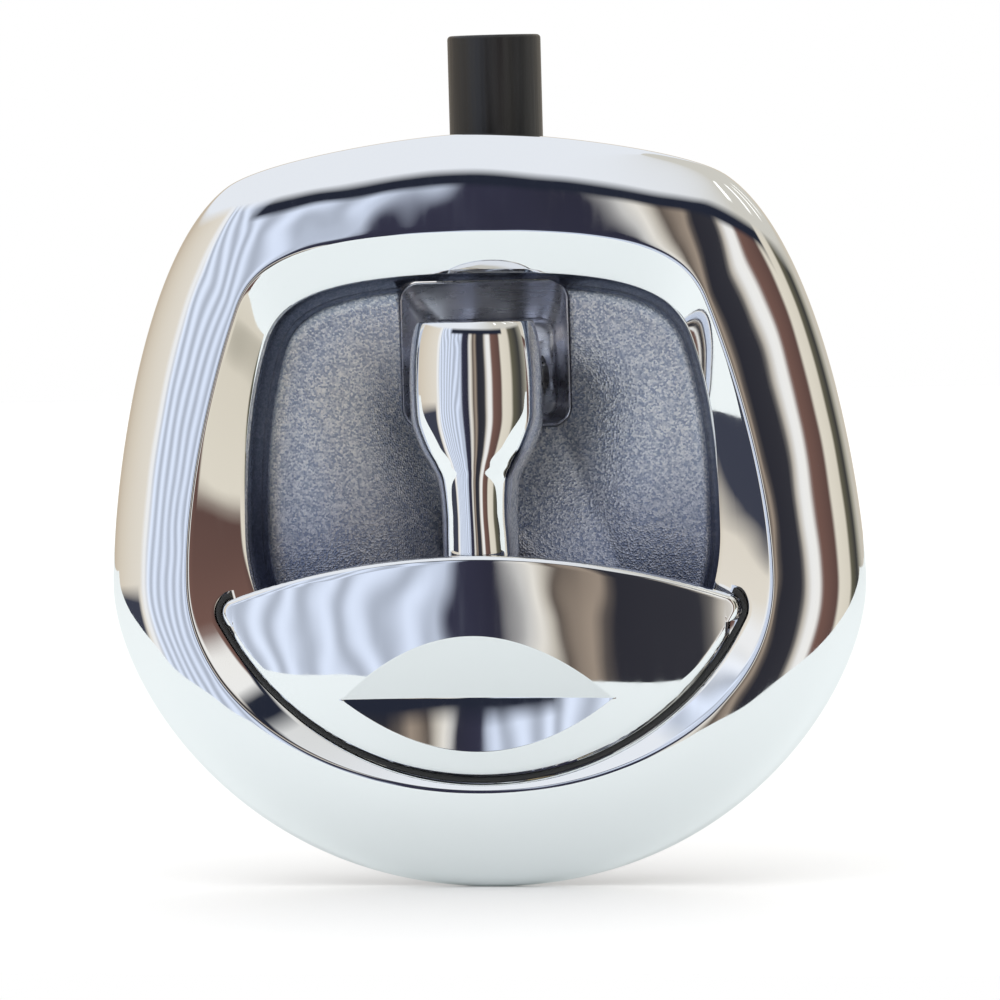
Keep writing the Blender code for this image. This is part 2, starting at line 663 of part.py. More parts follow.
def build_torsion_spring(spring_steel):
    points = [(2.9, 12.9, 38.0)]
    turns = 2.5
    steps = 30
    for k in range(steps + 1):
        a = math.radians(40) + 2 * math.pi * turns * k / steps
        points.append((2.9 + 2.7 * k / steps, PIVOT_Y + 4.0 * math.cos(a), PIVOT_Z + 4.0 * math.sin(a)))
    make_object("handle_spring", polyline_tube(points, 0.4), spring_steel)


# ---------------------------------------------------------------- latch bolt

def build_bolt(plastic, steel, axis):
    profile = ((BOLT_RADIUS, BOLT_LOW_Z), (BOLT_RADIUS, BOLT_TOP_Z - 0.8), (BOLT_RADIUS - 0.8, BOLT_TOP_Z))
    bolt = make_object("latch_bolt", turned("z", (0.0, BOLT_Y), profile, 36), plastic, axis)
    cut(bolt, cylinder("z", (0.0, BOLT_SCREW_Y), 2.3, 68.0, 84.0, 14))
    screw = cap_screw("z", (0.0, BOLT_SCREW_Y), 2.0, 2.6, 83.0, 66.7, 64.5)
    make_object("bolt_screw", screw, steel, axis)


def build_carrier(steel, axis):
    plate = [(-9.0, -8.0), (9.0, -8.0), (9.0, 70.0), (-9.0, 70.0)]
    carrier = make_object("bolt_carrier", prism(plate, "y", CARRIER_FRONT_Y, CARRIER_BACK_Y), steel, axis)
    join(carrier, box(-9.0, 9.0, 14.0, 26.5, 67.0, 70.0))
    join(carrier, box(-SPRING_X - 4.5, SPRING_X + 4.5, 14.0, CARRIER_BACK_Y, -2.0, 1.0))
    cut(carrier, cylinder("z", (0.0, BOLT_SCREW_Y), 2.3, 60.0, 72.0, 14))
    cut(carrier, box(-3.4, 3.4, 16.0, 23.0, PIVOT_Z - 3.2, PIVOT_Z + 5.2))
    for side in (-1, 1):
        cut(carrier, cylinder("z", (side * SPRING_X, SPRING_Y), 2.2, -4.0, 3.0, 14))
    for k, z in enumerate((14.0, 0.0), 1):
        cut(carrier, cylinder("y", (0.0, z), 1.6, 16.0, 23.0, 14))
        screw = turned("y", (0.0, z), ((1.3, 18.7), (1.3, 23.6), (3.2, 23.6), (3.2, 25.2)), 14)
        make_object(f"shoulder_screw_{k}", screw, steel, axis)


def build_springs(spring_steel, steel):
    for name, side in (("left", -1), ("right", 1)):
        turns = 7
        steps = turns * 12
        length = SPRING_TOP_Z - SPRING_LOW_Z - 2 * SPRING_WIRE
        points = []
        for k in range(steps + 1):
            a = 2 * math.pi * k / 12
            points.append((side * SPRING_X + SPRING_RADIUS * math.cos(a),
                           SPRING_Y + SPRING_RADIUS * math.sin(a),
                           SPRING_LOW_Z + SPRING_WIRE + length * k / steps))
        make_object(f"return_spring_{name}", polyline_tube(points, SPRING_WIRE), spring_steel)
        rod = cap_screw("z", (side * SPRING_X, SPRING_Y), 1.6, 3.2, 14.0, -33.1, -35.4)
        make_object(f"spring_rod_{name}", rod, steel)


def build_clutch(brass, axis):
    """A plate on the back of the carrier that puts a dog under the drive arm, or takes it away."""
    pin_x = -CAM_THROW * math.sin(math.radians(45))
    outline = [(-2.5, 27.4), (2.5, 27.4), (2.5, 20.0), (7.5, 18.0), (7.5, -6.0), (1.8, -9.0), (1.8, -28.6)]
    outline += [(-7.4, -28.6), (-7.4, -9.0), (-8.6, -6.0), (-8.6, 18.0), (-2.5, 20.0)]
    slide = make_object("clutch_slide", prism(outline, "y", SLIDE_FRONT_Y, SLIDE_BACK_Y), brass, axis)
    cut(slide, box(pin_x - 1.9, pin_x + 1.9, 20.0, 25.0, -26.6, -11.0))
    for z in (14.0, 0.0):
        cut(slide, box(-SLIDE_TRAVEL - 1.6, 1.6, 20.0, 25.0, z - 1.6, z + 1.6))


# ---------------------------------------------------------------- lock

def build_lock(steel, brass, axis):
    centre = (0.0, LOCK_Z)
    front = FLOOR_Y - 1.6
    profile = ((9.8, front), (9.8, FLOOR_Y - FIT), (8.0, FLOOR_Y - FIT), (8.0, 15.6))
    barrel = make_object("lock_barrel", turned("y", centre, profile, 28), steel)
    cut(barrel, cylinder("y", centre, 5.8, 2.0, 18.0, 24))
    nut = make_object("lock_nut", prism(hex_outline(centre, 21.0), "y", BRACKET_FOOT_Y, 12.0), steel)
    cut(nut, cylinder("y", centre, 8.3, 6.0, 14.0, 28))
    plug = make_object("lock_plug", turned("y", centre, ((5.5, front), (5.5, 18.2), (2.6, 18.2), (2.6, 20.4)), 24),
                       brass, axis)
    cut(plug, box(-0.9, 0.9, 2.0, 9.0, LOCK_Z - 3.4, LOCK_Z + 3.4))
    tilt = math.radians(135)
    pin = (CAM_THROW * math.cos(tilt), LOCK_Z + CAM_THROW * math.sin(tilt))
    cam = make_object("lock_cam", cylinder("y", centre, 6.2, 18.5, 20.6, 24), steel, axis)
    join(cam, cylinder("y", pin, 1.6, 20.0, 23.2, 14))
    cut(cam, cylinder("y", centre, 2.9, 17.0, 22.0, 20))


def main():
    clear_scene()
    chrome = make_material("chrome", (0.86, 0.87, 0.88), 0.04, 1.0)
    grained = make_material("grained_chrome", (0.33, 0.36, 0.41), 0.38, 1.0)
    polished = make_material("polished_zinc", (0.52, 0.54, 0.58), 0.12, 1.0)
    plastic = make_material("black_plastic", (0.012, 0.012, 0.014), 0.34, 0.0)
    rubber = make_material("black_rubber", (0.010, 0.010, 0.010), 0.60, 0.0)
    steel = make_material("zinc_plated_steel", (0.62, 0.63, 0.64), 0.30, 1.0)
    stainless = make_material("stainless_steel", (0.58, 0.57, 0.55), 0.22, 1.0)
    spring_steel = make_material("spring_steel", (0.30, 0.30, 0.31), 0.32, 1.0)
    brass = make_material("brass", (0.75, 0.58, 0.28), 0.28, 1.0)
    handle_axis = make_empty("handle_axis", (0.0, PIVOT_Y, PIVOT_Z))
    bolt_axis = make_empty("bolt_axis", (0.0, BOLT_Y, BOLT_LOW_Z))
    clutch_axis = make_empty("clutch_axis", (0.0, SLIDE_FRONT_Y, LOCK_Z), bolt_axis)
    lock_axis = make_empty("lock_axis", (0.0, FLOOR_Y, LOCK_Z))
    build_bezel(chrome)
    build_gasket(rubber)
    build_pan(grained)
    build_cup(polished)
    build_seal(rubber)
    build_rest_pads(rubber)
    build_pan_screws(stainless)
    build_studs(stainless)
    build_bracket(steel)
    build_bracket_screws(stainless)
    build_bolt_guide(plastic, stainless)
    build_lever(chrome, handle_axis)
    build_grip(chrome, stainless, handle_axis)
    build_pivot(stainless, spring_steel, handle_axis)
    build_torsion_spring(spring_steel)
    build_bolt(plastic, stainless, bolt_axis)
    build_carrier(steel, bolt_axis)
    build_springs(spring_steel, stainless)
    build_clutch(brass, clutch_axis)
    build_lock(steel, brass, lock_axis)


main()
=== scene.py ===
"""Looks of the flush lift-lever latch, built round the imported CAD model.

Shape constants are in millimetres, in the frame of the CAD model: X right, Z up, front facing -Y.
"""
import json
import math

import bmesh
import bpy
import numpy as np
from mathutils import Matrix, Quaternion, Vector


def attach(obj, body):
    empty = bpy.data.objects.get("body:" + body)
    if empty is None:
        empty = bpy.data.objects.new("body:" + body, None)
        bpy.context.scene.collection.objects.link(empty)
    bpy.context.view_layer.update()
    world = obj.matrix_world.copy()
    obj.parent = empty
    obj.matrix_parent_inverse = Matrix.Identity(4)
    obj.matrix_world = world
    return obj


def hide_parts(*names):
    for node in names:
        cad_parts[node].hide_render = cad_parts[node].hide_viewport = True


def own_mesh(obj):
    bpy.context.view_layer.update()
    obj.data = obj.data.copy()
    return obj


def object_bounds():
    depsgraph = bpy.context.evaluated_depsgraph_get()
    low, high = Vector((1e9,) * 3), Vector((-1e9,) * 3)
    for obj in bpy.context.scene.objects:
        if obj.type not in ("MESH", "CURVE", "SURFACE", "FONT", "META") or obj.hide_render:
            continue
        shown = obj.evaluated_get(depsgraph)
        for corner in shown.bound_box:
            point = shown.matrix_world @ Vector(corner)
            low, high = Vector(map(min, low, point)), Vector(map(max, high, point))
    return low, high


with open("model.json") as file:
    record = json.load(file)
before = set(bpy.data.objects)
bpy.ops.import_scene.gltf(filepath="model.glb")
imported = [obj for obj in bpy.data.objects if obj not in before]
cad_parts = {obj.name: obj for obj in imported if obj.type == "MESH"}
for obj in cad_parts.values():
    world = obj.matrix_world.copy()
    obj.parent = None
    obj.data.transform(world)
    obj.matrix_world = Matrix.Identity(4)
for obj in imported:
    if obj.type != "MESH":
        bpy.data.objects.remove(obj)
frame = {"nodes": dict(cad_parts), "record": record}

MM = 0.001
CAD_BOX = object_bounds()

# Outlines: half outlines of cubic Bezier points (x, z), from the bottom centre to the top centre.
BEZEL_OUTLINE = [
    [(0.0, -88.0), (60.0, -88.0), (90.5, -41.0), (90.5, -16.7)],
    [(90.5, -16.7), (90.5, -0.6), (83.0, 60.6), (60.0, 76.8)],
    [(60.0, 76.8), (51.2, 83.0), (15.0, 88.0), (0.0, 88.0)],
]
WINDOW_OUTLINE = [
    [(0.0, -64.8), (38.0, -64.8), (70.0, -45.0), (70.0, -16.0)],
    [(70.0, -16.0), (70.0, 2.0), (64.5, 26.0), (56.0, 48.5)],
    [(56.0, 48.5), (51.8, 59.5), (40.0, 65.6), (0.0, 65.6)],
]
PAN_OUTLINE = [
    [(0.0, -57.0), (30.0, -57.0), (57.0, -34.0), (57.0, -5.0)],
    [(57.0, -5.0), (57.0, 12.0), (55.5, 27.0), (51.0, 40.0)],
    [(51.0, 40.0), (47.2, 51.0), (36.0, 55.6), (0.0, 55.6)],
]
CENTRE_Z = -5.0

# Bezel section: depths, the dome's curve, and the widths of the seat and foot behind it.
EDGE_Y = -0.3
SIDE_Y = -0.9
CREST_Y = -9.0
LEDGE_Y = -3.6
SHELF_Y = -5.5
SEAT_Y = -2.2
FOOT_Y = -1.5
DOME_POWER = 2.0
DOME_SWEEP = 78.0
DOME_STEPS = 46
SHELL_THICK = 3.0
SEAT_WIDTH = 8.4
FOOT_INNER = 8.0
FOOT_OUTER = 2.0

# Crescent grip and its finger scoop.
GRIP_TIP_X = 63.2
GRIP_TIP_Z = -21.0
GRIP_TIP_RADIUS = 3.2
GRIP_TOP_Z = -9.7
GRIP_BOTTOM_Z = -61.3
GRIP_FRONT_Y = -15.2
GRIP_BOW_X = 0.00165
GRIP_BOW_Z = 0.0029
GRIP_BOW_CENTRE_Z = -18.0
GRIP_THICK = 2.9
GRIP_GAP = 2.2
GRIP_EDGE = 1.1
BOSS_HALF = 8.0
BOSS_FRONT_Y = -13.4
BOSS_LOW_Z = -28.0
BOSS_TOP_Z = -12.6
SEAL_INNER = 0.45
SEAL_OUTER = 1.85
SEAL_SHOULDER_Y = -7.0
SEAL_CROWN = 0.5
SCOOP_HALF = 32.5
SCOOP_TOP_Z = -28.3
SCOOP_VALLEY_Z = -43.1
SCOOP_LOW_Z = -55.5
SCOOP_DEPTH = 5.2

# Lever stations: z, half width, front y, back y.
LEVER_STATIONS = [
    (44.5, 13.0, -13.2, -3.6),
    (44.0, 13.9, -14.2, -3.3),
    (40.0, 15.0, -15.2, -3.2),
    (33.0, 15.7, -15.7, -3.2),
    (26.0, 15.8, -15.8, -3.2),
    (20.5, 15.4, -15.5, -3.2),
    (15.0, 13.5, -14.9, -3.2),
    (10.8, 11.2, -14.2, -3.2),
    (7.0, 9.6, -13.5, -3.2),
    (0.0, 8.9, -12.8, -3.2),
    (-6.0, 8.9, -12.2, -3.2),
    (-12.0, 8.9, -11.7, -3.2),
]
LEVER_SECTION_POWER = 2.2
LEVER_HOLLOW = (-8.7, 8.7, -11.0, 2.0, 22.0, 60.0)
CHEEK_INNER = 9.3
CHEEK_OUTER = 12.6
CHEEK_RADIUS = 5.2
TONGUE_HALF = 8.0
TONGUE_FRONT_Y = -10.7
TONGUE_BACK_Y = -5.0
TONGUE_LOW_Z = -29.0
TONGUE_TOP_Z = -10.6

# Pan, pivot cup, pivot, bolt and lock.
FLOOR_Y = 5.5
PAN_WALL = 2.5
PAN_FILLET = 4.5
PAN_DRAFT = 2.4
PAN_FLANGE = 7.9
PAN_FLANGE_THICK = 2.0
LOCK_HOLE = 8.3
CUP_HALF = 20.2
CUP_TOP_Z = 53.4
CUP_LOW_Z = 19.4
CUP_FLOOR_Y = 13.5
CUP_WALL = 2.0
CUP_CORNER = 4.5
CUP_BASE_HALF = 15.2
CUP_BASE_LOW_Z = 20.8
CUP_BASE_TOP_Z = 44.5
CUP_BASE_CORNER = 3.6
CUP_FOOT = 1.3
CUP_BULGE = 0.6
LUG_INNER = 6.4
LUG_OUTER = 8.9
LUG_RADIUS = 5.5
PIVOT_Y = 5.0
PIVOT_Z = 31.0
PIN_HOLE = 3.3
BOLT_RADIUS = 11.0
BOLT_Y = 22.0
BOLT_TOP_Z = 111.0
BOLT_LOW_Z = 70.3
BOLT_EDGE = 0.9
BOLT_SCREW_HOLE = 2.3
BOLT_SCREW_Y = 24.0
LOCK_Z = -27.0
FIT = 0.3

# Camera, in degrees and metres: to the right, a touch above, and rolled a little.
CAMERA_AZIMUTH = 14.0
CAMERA_ELEVATION = 3.0
CAMERA_ROLL = 1.55
CAMERA_DISTANCE = 1.6
CAMERA_TARGET = (0.0052, -0.005, 0.0027)
CAMERA_FIELD = 0.2326

# Table, in metres, and how bright it is lit and mirrored: its colour in the chrome is a painted
# reflection.
TABLE_FRONT = 0.165
TABLE_HALF = 3.0
TABLE_LIGHT = 1.5
TABLE_IN_CHROME = (0.75, 0.80, 0.805)


# ---------------------------------------------------------------- outlines

def bezier_outline(half):
    """Points of a whole outline from its right half, mirrored in x = 0."""
    points = []
    for p0, p1, p2, p3 in half:
        for t in np.linspace(0.0, 1.0, 200, endpoint=False):
            a = (1 - t) ** 3
            b = 3 * t * (1 - t) ** 2
            c = 3 * t * t * (1 - t)
            d = t ** 3
            points.append(tuple(a * p0[k] + b * p1[k] + c * p2[k] + d * p3[k] for k in (0, 1)))
    points.append(half[-1][3])
    mirrored = [(-x, z) for x, z in reversed(points[1:-1])]
    return np.array(points + mirrored)


def polar_radius(outline, angles):
    """Radius of a star-shaped outline about (0, CENTRE_Z) at each angle."""
    bearing = np.arctan2(outline[:, 1] - CENTRE_Z, outline[:, 0])
    radius = np.hypot(outline[:, 0], outline[:, 1] - CENTRE_Z)
    order = np.argsort(bearing)
    return np.interp(angles, bearing[order], radius[order], period=2 * math.pi)


def circle_through_tips(mid_z):
    """Centre z and radius of the arc through both sharp tips and (0, mid_z)."""
    rise = mid_z - GRIP_TIP_Z
    radius = (GRIP_TIP_X ** 2 + rise ** 2) / (2 * abs(rise))
    return mid_z - math.copysign(radius, rise), radius


def tip_centre():
    """Centre of the circle that rounds the grip's right tip."""
    top, top_radius = circle_through_tips(GRIP_TOP_Z)
    low, low_radius = circle_through_tips(GRIP_BOTTOM_Z)
    a = top_radius - GRIP_TIP_RADIUS
    b = low_radius - GRIP_TIP_RADIUS
    z = (a * a - b * b - top * top + low * low) / (2 * (low - top))
    return math.sqrt(a * a - (z - top) ** 2), z


def grip_outline(gap, steps=160, turn=24):
    """The grip's outline as (x, z), grown by a gap, anticlockwise from the top of the right tip."""
    top, top_radius = circle_through_tips(GRIP_TOP_Z)
    low, low_radius = circle_through_tips(GRIP_BOTTOM_Z)
    x, z = tip_centre()
    from_top = math.atan2(z - top, x)
    from_low = math.atan2(z - low, x)
    tip = GRIP_TIP_RADIUS + gap
    points = []
    for a in np.linspace(from_top, math.pi - from_top, steps):
        points.append(((top_radius + gap) * math.cos(a), top + (top_radius + gap) * math.sin(a)))
    for a in np.linspace(math.pi - from_top, math.pi - from_low, turn)[1:-1]:
        points.append((-x + tip * math.cos(a), z + tip * math.sin(a)))
    for a in np.linspace(-math.pi - from_low, from_low, steps):
        points.append(((low_radius + gap) * math.cos(a), low + (low_radius + gap) * math.sin(a)))
    for a in np.linspace(from_low, from_top, turn)[1:-1]:
        points.append((x + tip * math.cos(a), z + tip * math.sin(a)))
    return np.array(points)


def below_tips(outline, steps=160):
    """The part of a grip outline that runs from the left tip under the grip to the right tip."""
    return np.vstack([outline[steps - 1:], outline[:1]])


# ---------------------------------------------------------------- mesh helpers

def loft(rings, closed):
    """A mesh through rings of equal length: a closed tube of rings, or one with end caps."""
    bm = bmesh.new()
    rows = [[bm.verts.new(p) for p in points] for points in rings]
    count = len(rows[0])
    pairs = list(zip(rows, rows[1:]))
    if closed:
        pairs.append((rows[-1], rows[0]))
    for low, high in pairs:
        for k in range(count):
            n = (k + 1) % count
            bm.faces.new((low[k], low[n], high[n], high[k]))
    if not closed:
        bm.faces.new(rows[0])
        bm.faces.new(rows[-1])
    bmesh.ops.remove_doubles(bm, verts=bm.verts, dist=0.002)
    bmesh.ops.recalc_face_normals(bm, faces=bm.faces)
    return bm


def circle_points(radius, count):
    return [(radius * math.cos(2 * math.pi * k / count), radius * math.sin(2 * math.pi * k / count))
            for k in range(count)]


def on_axis(axis, u, v, w):
    """A point at (u, v) across an axis and w along it."""
    return {"x": (w, u, v), "y": (u, w, v), "z": (u, v, w)}[axis]


def prism(outline, axis, low, high):
    return loft([[on_axis(axis, u, v, w) for u, v in outline] for w in (low, high)], False)


def turned(axis, centre, profile, count=96):
    """A solid of revolution through (radius, distance along the axis) pairs."""
    rings = []
    for radius, w in profile:
        around = circle_points(radius, count)
        rings.append([on_axis(axis, centre[0] + u, centre[1] + v, w) for u, v in around])
    return loft(rings, False)


def box(x0, x1, y0, y1, z0, z1):
    return prism([(x0, z0), (x1, z0), (x1, z1), (x0, z1)], "y", y0, y1)


def rounded_box(half_x, z0, z1, corner, y, steps=14):
    """The outline of a rounded rectangle at depth y."""
    points = []
    for x, z, start in ((half_x, z1, 0), (-half_x, z1, 90), (-half_x, z0, 180), (half_x, z0, 270)):
        cx = x - math.copysign(corner, x)
        cz = z - math.copysign(corner, z - (z0 + z1) / 2)
        for k in range(steps + 1):
            a = math.radians(start + 90 * k / steps)
            points.append((cx + corner * math.cos(a), y, cz + corner * math.sin(a)))
    return points


def to_object(name, bm, material, sharp=38.0):
    """Turn a millimetre mesh into a smooth-shaded object in metres."""
    for vert in bm.verts:
        vert.co *= MM
    mesh = bpy.data.meshes.new(name)
    bm.to_mesh(mesh)
    bm.free()
    mesh.materials.append(material)
    mesh.shade_smooth()
    mesh.set_sharp_from_angle(angle=math.radians(sharp))
    item = bpy.data.objects.new(name, mesh)
    bpy.context.scene.collection.objects.link(item)
    return item


def boolean(item, bm, operation):
    """Cut a millimetre mesh out of an object or join it on, and apply the result."""
    tool = to_object(item.name + "_tool", bm, item.active_material)
    modifier = item.modifiers.new("boolean", "BOOLEAN")
    modifier.operation = operation
    modifier.object = tool
    bpy.context.view_layer.update()
    evaluated = item.evaluated_get(bpy.context.evaluated_depsgraph_get())
    mesh = bpy.data.meshes.new_from_object(evaluated)
    item.modifiers.clear()
    item.data = mesh
    bpy.data.objects.remove(tool)


def show(item, body, slot, *nodes):
    """Let a piece stand for CAD nodes, on their body, hiding those nodes; the slot is not used."""
    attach(item, body)
    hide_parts(*nodes)


# ---------------------------------------------------------------- materials

def new_material(name, colour, metallic, roughness):
    """A Principled material, with its shader, its node tree and object coordinates."""
    material = bpy.data.materials.new(name)
    material.use_nodes = True
    tree = material.node_tree
    shader = tree.nodes["Principled BSDF"]
    shader.inputs["Base Color"].default_value = (*colour, 1.0)
    shader.inputs["Metallic"].default_value = metallic
    shader.inputs["Roughness"].default_value = roughness
    place = tree.nodes.new("ShaderNodeTexCoord").outputs["Object"]
    return material, tree, shader, place


def noise(tree, place, scale, detail=2.0, stretch=(1.0, 1.0, 1.0)):
    mapping = tree.nodes.new("ShaderNodeMapping")
    mapping.inputs["Scale"].default_value = stretch
    tree.links.new(place, mapping.inputs["Vector"])
    texture = tree.nodes.new("ShaderNodeTexNoise")
    texture.inputs["Scale"].default_value = scale
    texture.inputs["Detail"].default_value = detail
    tree.links.new(mapping.outputs["Vector"], texture.inputs["Vector"])
    return texture.outputs["Fac"]


def remap(tree, value, low, high, to_low, to_high):
    node = tree.nodes.new("ShaderNodeMapRange")
    node.inputs["From Min"].default_value = low
    node.inputs["From Max"].default_value = high
    node.inputs["To Min"].default_value = to_low
    node.inputs["To Max"].default_value = to_high
    tree.links.new(value, node.inputs["Value"])
    return node.outputs["Result"]


def feed(tree, socket, value):
    """Give a socket a number or a colour, or link another socket to it."""
    if isinstance(value, (int, float)):
        socket.default_value = value
    elif isinstance(value, tuple):
        socket.default_value = (*value, 1.0)
    else:
        tree.links.new(value, socket)


def maths(tree, operation, *values):
    node = tree.nodes.new("ShaderNodeMath")
    node.operation = operation
    for socket, value in zip(node.inputs, values):
        feed(tree, socket, value)
    return node.outputs["Value"]


def mix(tree, factor, a, b, kind="MIX"):
    node = tree.nodes.new("ShaderNodeMix")
    node.data_type = "RGBA"
    node.blend_type = kind
    feed(tree, node.inputs["Factor"], factor)
    feed(tree, node.inputs["A"], a)
    feed(tree, node.inputs["B"], b)
    return node.outputs["Result"]


def bump(tree, height, distance):
    node = tree.nodes.new("ShaderNodeBump")
    node.inputs["Distance"].default_value = distance
    node.inputs["Strength"].default_value = 1.0
    tree.links.new(height, node.inputs["Height"])
    return node.outputs["Normal"]


def make_chrome():
    """Mirror chrome over a hand-polished casting: a slow ripple, and faint wipe marks."""
    material, tree, shader, place = new_material("mirror_chrome", (0.90, 0.91, 0.92), 1.0, 0.03)
    ripple = noise(tree, place, 38.0, 1.0)
    wipes = noise(tree, place, 420.0, 3.0, (1.0, 1.0, 0.12))
    tree.links.new(remap(tree, wipes, 0.35, 0.75, 0.018, 0.055), shader.inputs["Roughness"])
    tree.links.new(bump(tree, ripple, 0.00035), shader.inputs["Normal"])
    return material


def cells(tree, place, scale):
    """Random value per grain and distance from each grain's middle."""
    texture = tree.nodes.new("ShaderNodeTexVoronoi")
    texture.inputs["Scale"].default_value = scale
    tree.links.new(place, texture.inputs["Vector"])
    value = tree.nodes.new("ShaderNodeSeparateColor")
    tree.links.new(texture.outputs["Color"], value.inputs["Color"])
    return value.outputs["Red"], texture.outputs["Distance"]


def make_grained():
    """Sparkling cast grain on the recess floor, fading to a darker, smoother drafted wall, with painted
    shade darkening it towards the bottom.
    """
    material, tree, shader, place = new_material("grained_chrome", (0.36, 0.40, 0.48), 1.0, 0.3)
    grain, across = cells(tree, place, 2300.0)
    parts = tree.nodes.new("ShaderNodeSeparateXYZ")
    tree.links.new(place, parts.inputs["Vector"])
    floor = remap(tree, parts.outputs["Y"], 0.0036, 0.0054, 0.0, 1.0)
    speckle = remap(tree, grain, 0.15, 0.95, 0.0, 1.0)
    sparkle = mix(tree, speckle, (0.40, 0.45, 0.57), (1.0, 1.0, 1.0))
    wall = mix(tree, speckle, (0.14, 0.16, 0.21), (0.20, 0.22, 0.29))
    colour = mix(tree, floor, wall, sparkle)
    # Painted shade: the colour grows darker and bluer towards the bottom of the pan, set by height.
    height = remap(tree, parts.outputs["Z"], -0.018, 0.022, 0.0, 1.0)
    painted_low_shade = mix(tree, height, (0.58, 0.61, 0.72), (1.0, 1.0, 1.0))
    cloud = mix(tree, noise(tree, place, 45.0, 3.0), (0.84, 0.85, 0.88), (1.0, 1.0, 1.0))
    grain_under_painted_shade = mix(tree, 1.0, colour, painted_low_shade, "MULTIPLY")
    tree.links.new(mix(tree, 1.0, grain_under_painted_shade, cloud, "MULTIPLY"), shader.inputs["Base Color"])
    tree.links.new(remap(tree, floor, 0.0, 1.0, 0.24, 0.42), shader.inputs["Roughness"])
    bumps = maths(tree, "MULTIPLY", across, remap(tree, floor, 0.0, 1.0, 0.15, 1.0))
    tree.links.new(bump(tree, bumps, 0.00013), shader.inputs["Normal"])
    return material


def make_polished_zinc():
    """The pocket's polish: cloudy, slightly soft, with faint wipe marks."""
    material, tree, shader, place = new_material("polished_zinc", (0.46, 0.48, 0.54), 1.0, 0.16)
    cloud = noise(tree, place, 60.0, 3.0)
    colour = mix(tree, cloud, (0.58, 0.60, 0.69), (0.74, 0.76, 0.84))
    tree.links.new(colour, shader.inputs["Base Color"])
    marks = noise(tree, place, 700.0, 3.0, (0.2, 1.0, 1.0))
    tree.links.new(remap(tree, marks, 0.3, 0.7, 0.24, 0.33), shader.inputs["Roughness"])
    tree.links.new(bump(tree, noise(tree, place, 90.0, 1.0), 0.00006), shader.inputs["Normal"])
    return material


def make_black_plastic():
    """Satin black moulding with faint draw lines along the bolt."""
    material, tree, shader, place = new_material("black_plastic", (0.010, 0.010, 0.012), 0.0, 0.34)
    lines = noise(tree, place, 900.0, 3.0, (1.0, 1.0, 0.03))
    colour = mix(tree, lines, (0.006, 0.006, 0.008), (0.018, 0.018, 0.020))
    tree.links.new(colour, shader.inputs["Base Color"])
    tree.links.new(remap(tree, lines, 0.3, 0.7, 0.28, 0.42), shader.inputs["Roughness"])
    tree.links.new(bump(tree, lines, 0.00006), shader.inputs["Normal"])
    return material


def make_rubber():
    """Matt black rubber with fine pores."""
    material, tree, shader, place = new_material("black_rubber", (0.010, 0.010, 0.010), 0.0, 0.5)
    pores = noise(tree, place, 1800.0, 3.0)
    colour = mix(tree, pores, (0.006, 0.006, 0.006), (0.020, 0.020, 0.021))
    tree.links.new(colour, shader.inputs["Base Color"])
    tree.links.new(remap(tree, pores, 0.3, 0.7, 0.38, 0.60), shader.inputs["Roughness"])
    tree.links.new(bump(tree, pores, 0.00005), shader.inputs["Normal"])
    return material


def make_metal(name, dark, light, rough_low, rough_high, stretch):
    """A plain hardware metal: brushed along one axis, with cloudy colour and fine bump."""
    material, tree, shader, place = new_material(name, light, 1.0, rough_high)
    brushing = noise(tree, place, 520.0, 4.0, stretch)
    cloud = noise(tree, place, 70.0, 4.0)
    tree.links.new(mix(tree, cloud, dark, light), shader.inputs["Base Color"])
    tree.links.new(remap(tree, brushing, 0.3, 0.7, rough_low, rough_high), shader.inputs["Roughness"])
    tree.links.new(bump(tree, brushing, 0.00005), shader.inputs["Normal"])
    return material


# ---------------------------------------------------------------- bezel

def ray_angles():
    """Angles round the bezel, closer together where the grip's recess ends at its tips."""
    angles = list(np.linspace(-math.pi, math.pi, 480, endpoint=False))
    edge = below_tips(grip_outline(GRIP_GAP))
    bearing = np.arctan2(edge[:, 1] - CENTRE_Z, edge[:, 0])
    right = bearing[-1]
    left = bearing[0]
    for k in np.linspace(0.0, 1.0, 36):
        angles.append(right - 0.0002 - 0.10 * k * k)
        angles.append(left + 0.0002 + 0.10 * k * k)
    angles += [right + 0.0002, left - 0.0002]
    wrapped = [(a + math.pi) % (2 * math.pi) - math.pi for a in angles]
    return np.array(sorted(set(wrapped))), right, left


def rings_at(angles, sections):
    """Rings of points from (radii, depths) pairs."""
    rings = []
    for radius, y in sections:
        radius = np.broadcast_to(np.asarray(radius, dtype=float), angles.shape)
        depth = np.broadcast_to(np.asarray(y, dtype=float), angles.shape)
        rings.append([(r * math.cos(a), d, CENTRE_Z + r * math.sin(a))
                      for r, a, d in zip(radius, angles, depth)])
    return rings


def dome_sections(outer, window):
    """The domed front: radii and depths from the outer edge to the window edge."""
    top = math.sin(math.radians(DOME_SWEEP)) ** (2 / DOME_POWER)
    full = 1 - math.cos(math.radians(DOME_SWEEP)) ** (2 / DOME_POWER)
    sections = []
    for k in range(DOME_STEPS + 1):
        a = math.radians(DOME_SWEEP) * (k / DOME_STEPS)
        across = (1 - math.cos(a) ** (2 / DOME_POWER)) / full
        rise = math.sin(a) ** (2 / DOME_POWER) / top
        sections.append((outer + (window - outer) * across, SIDE_Y + (CREST_Y - SIDE_Y) * rise))
    return sections


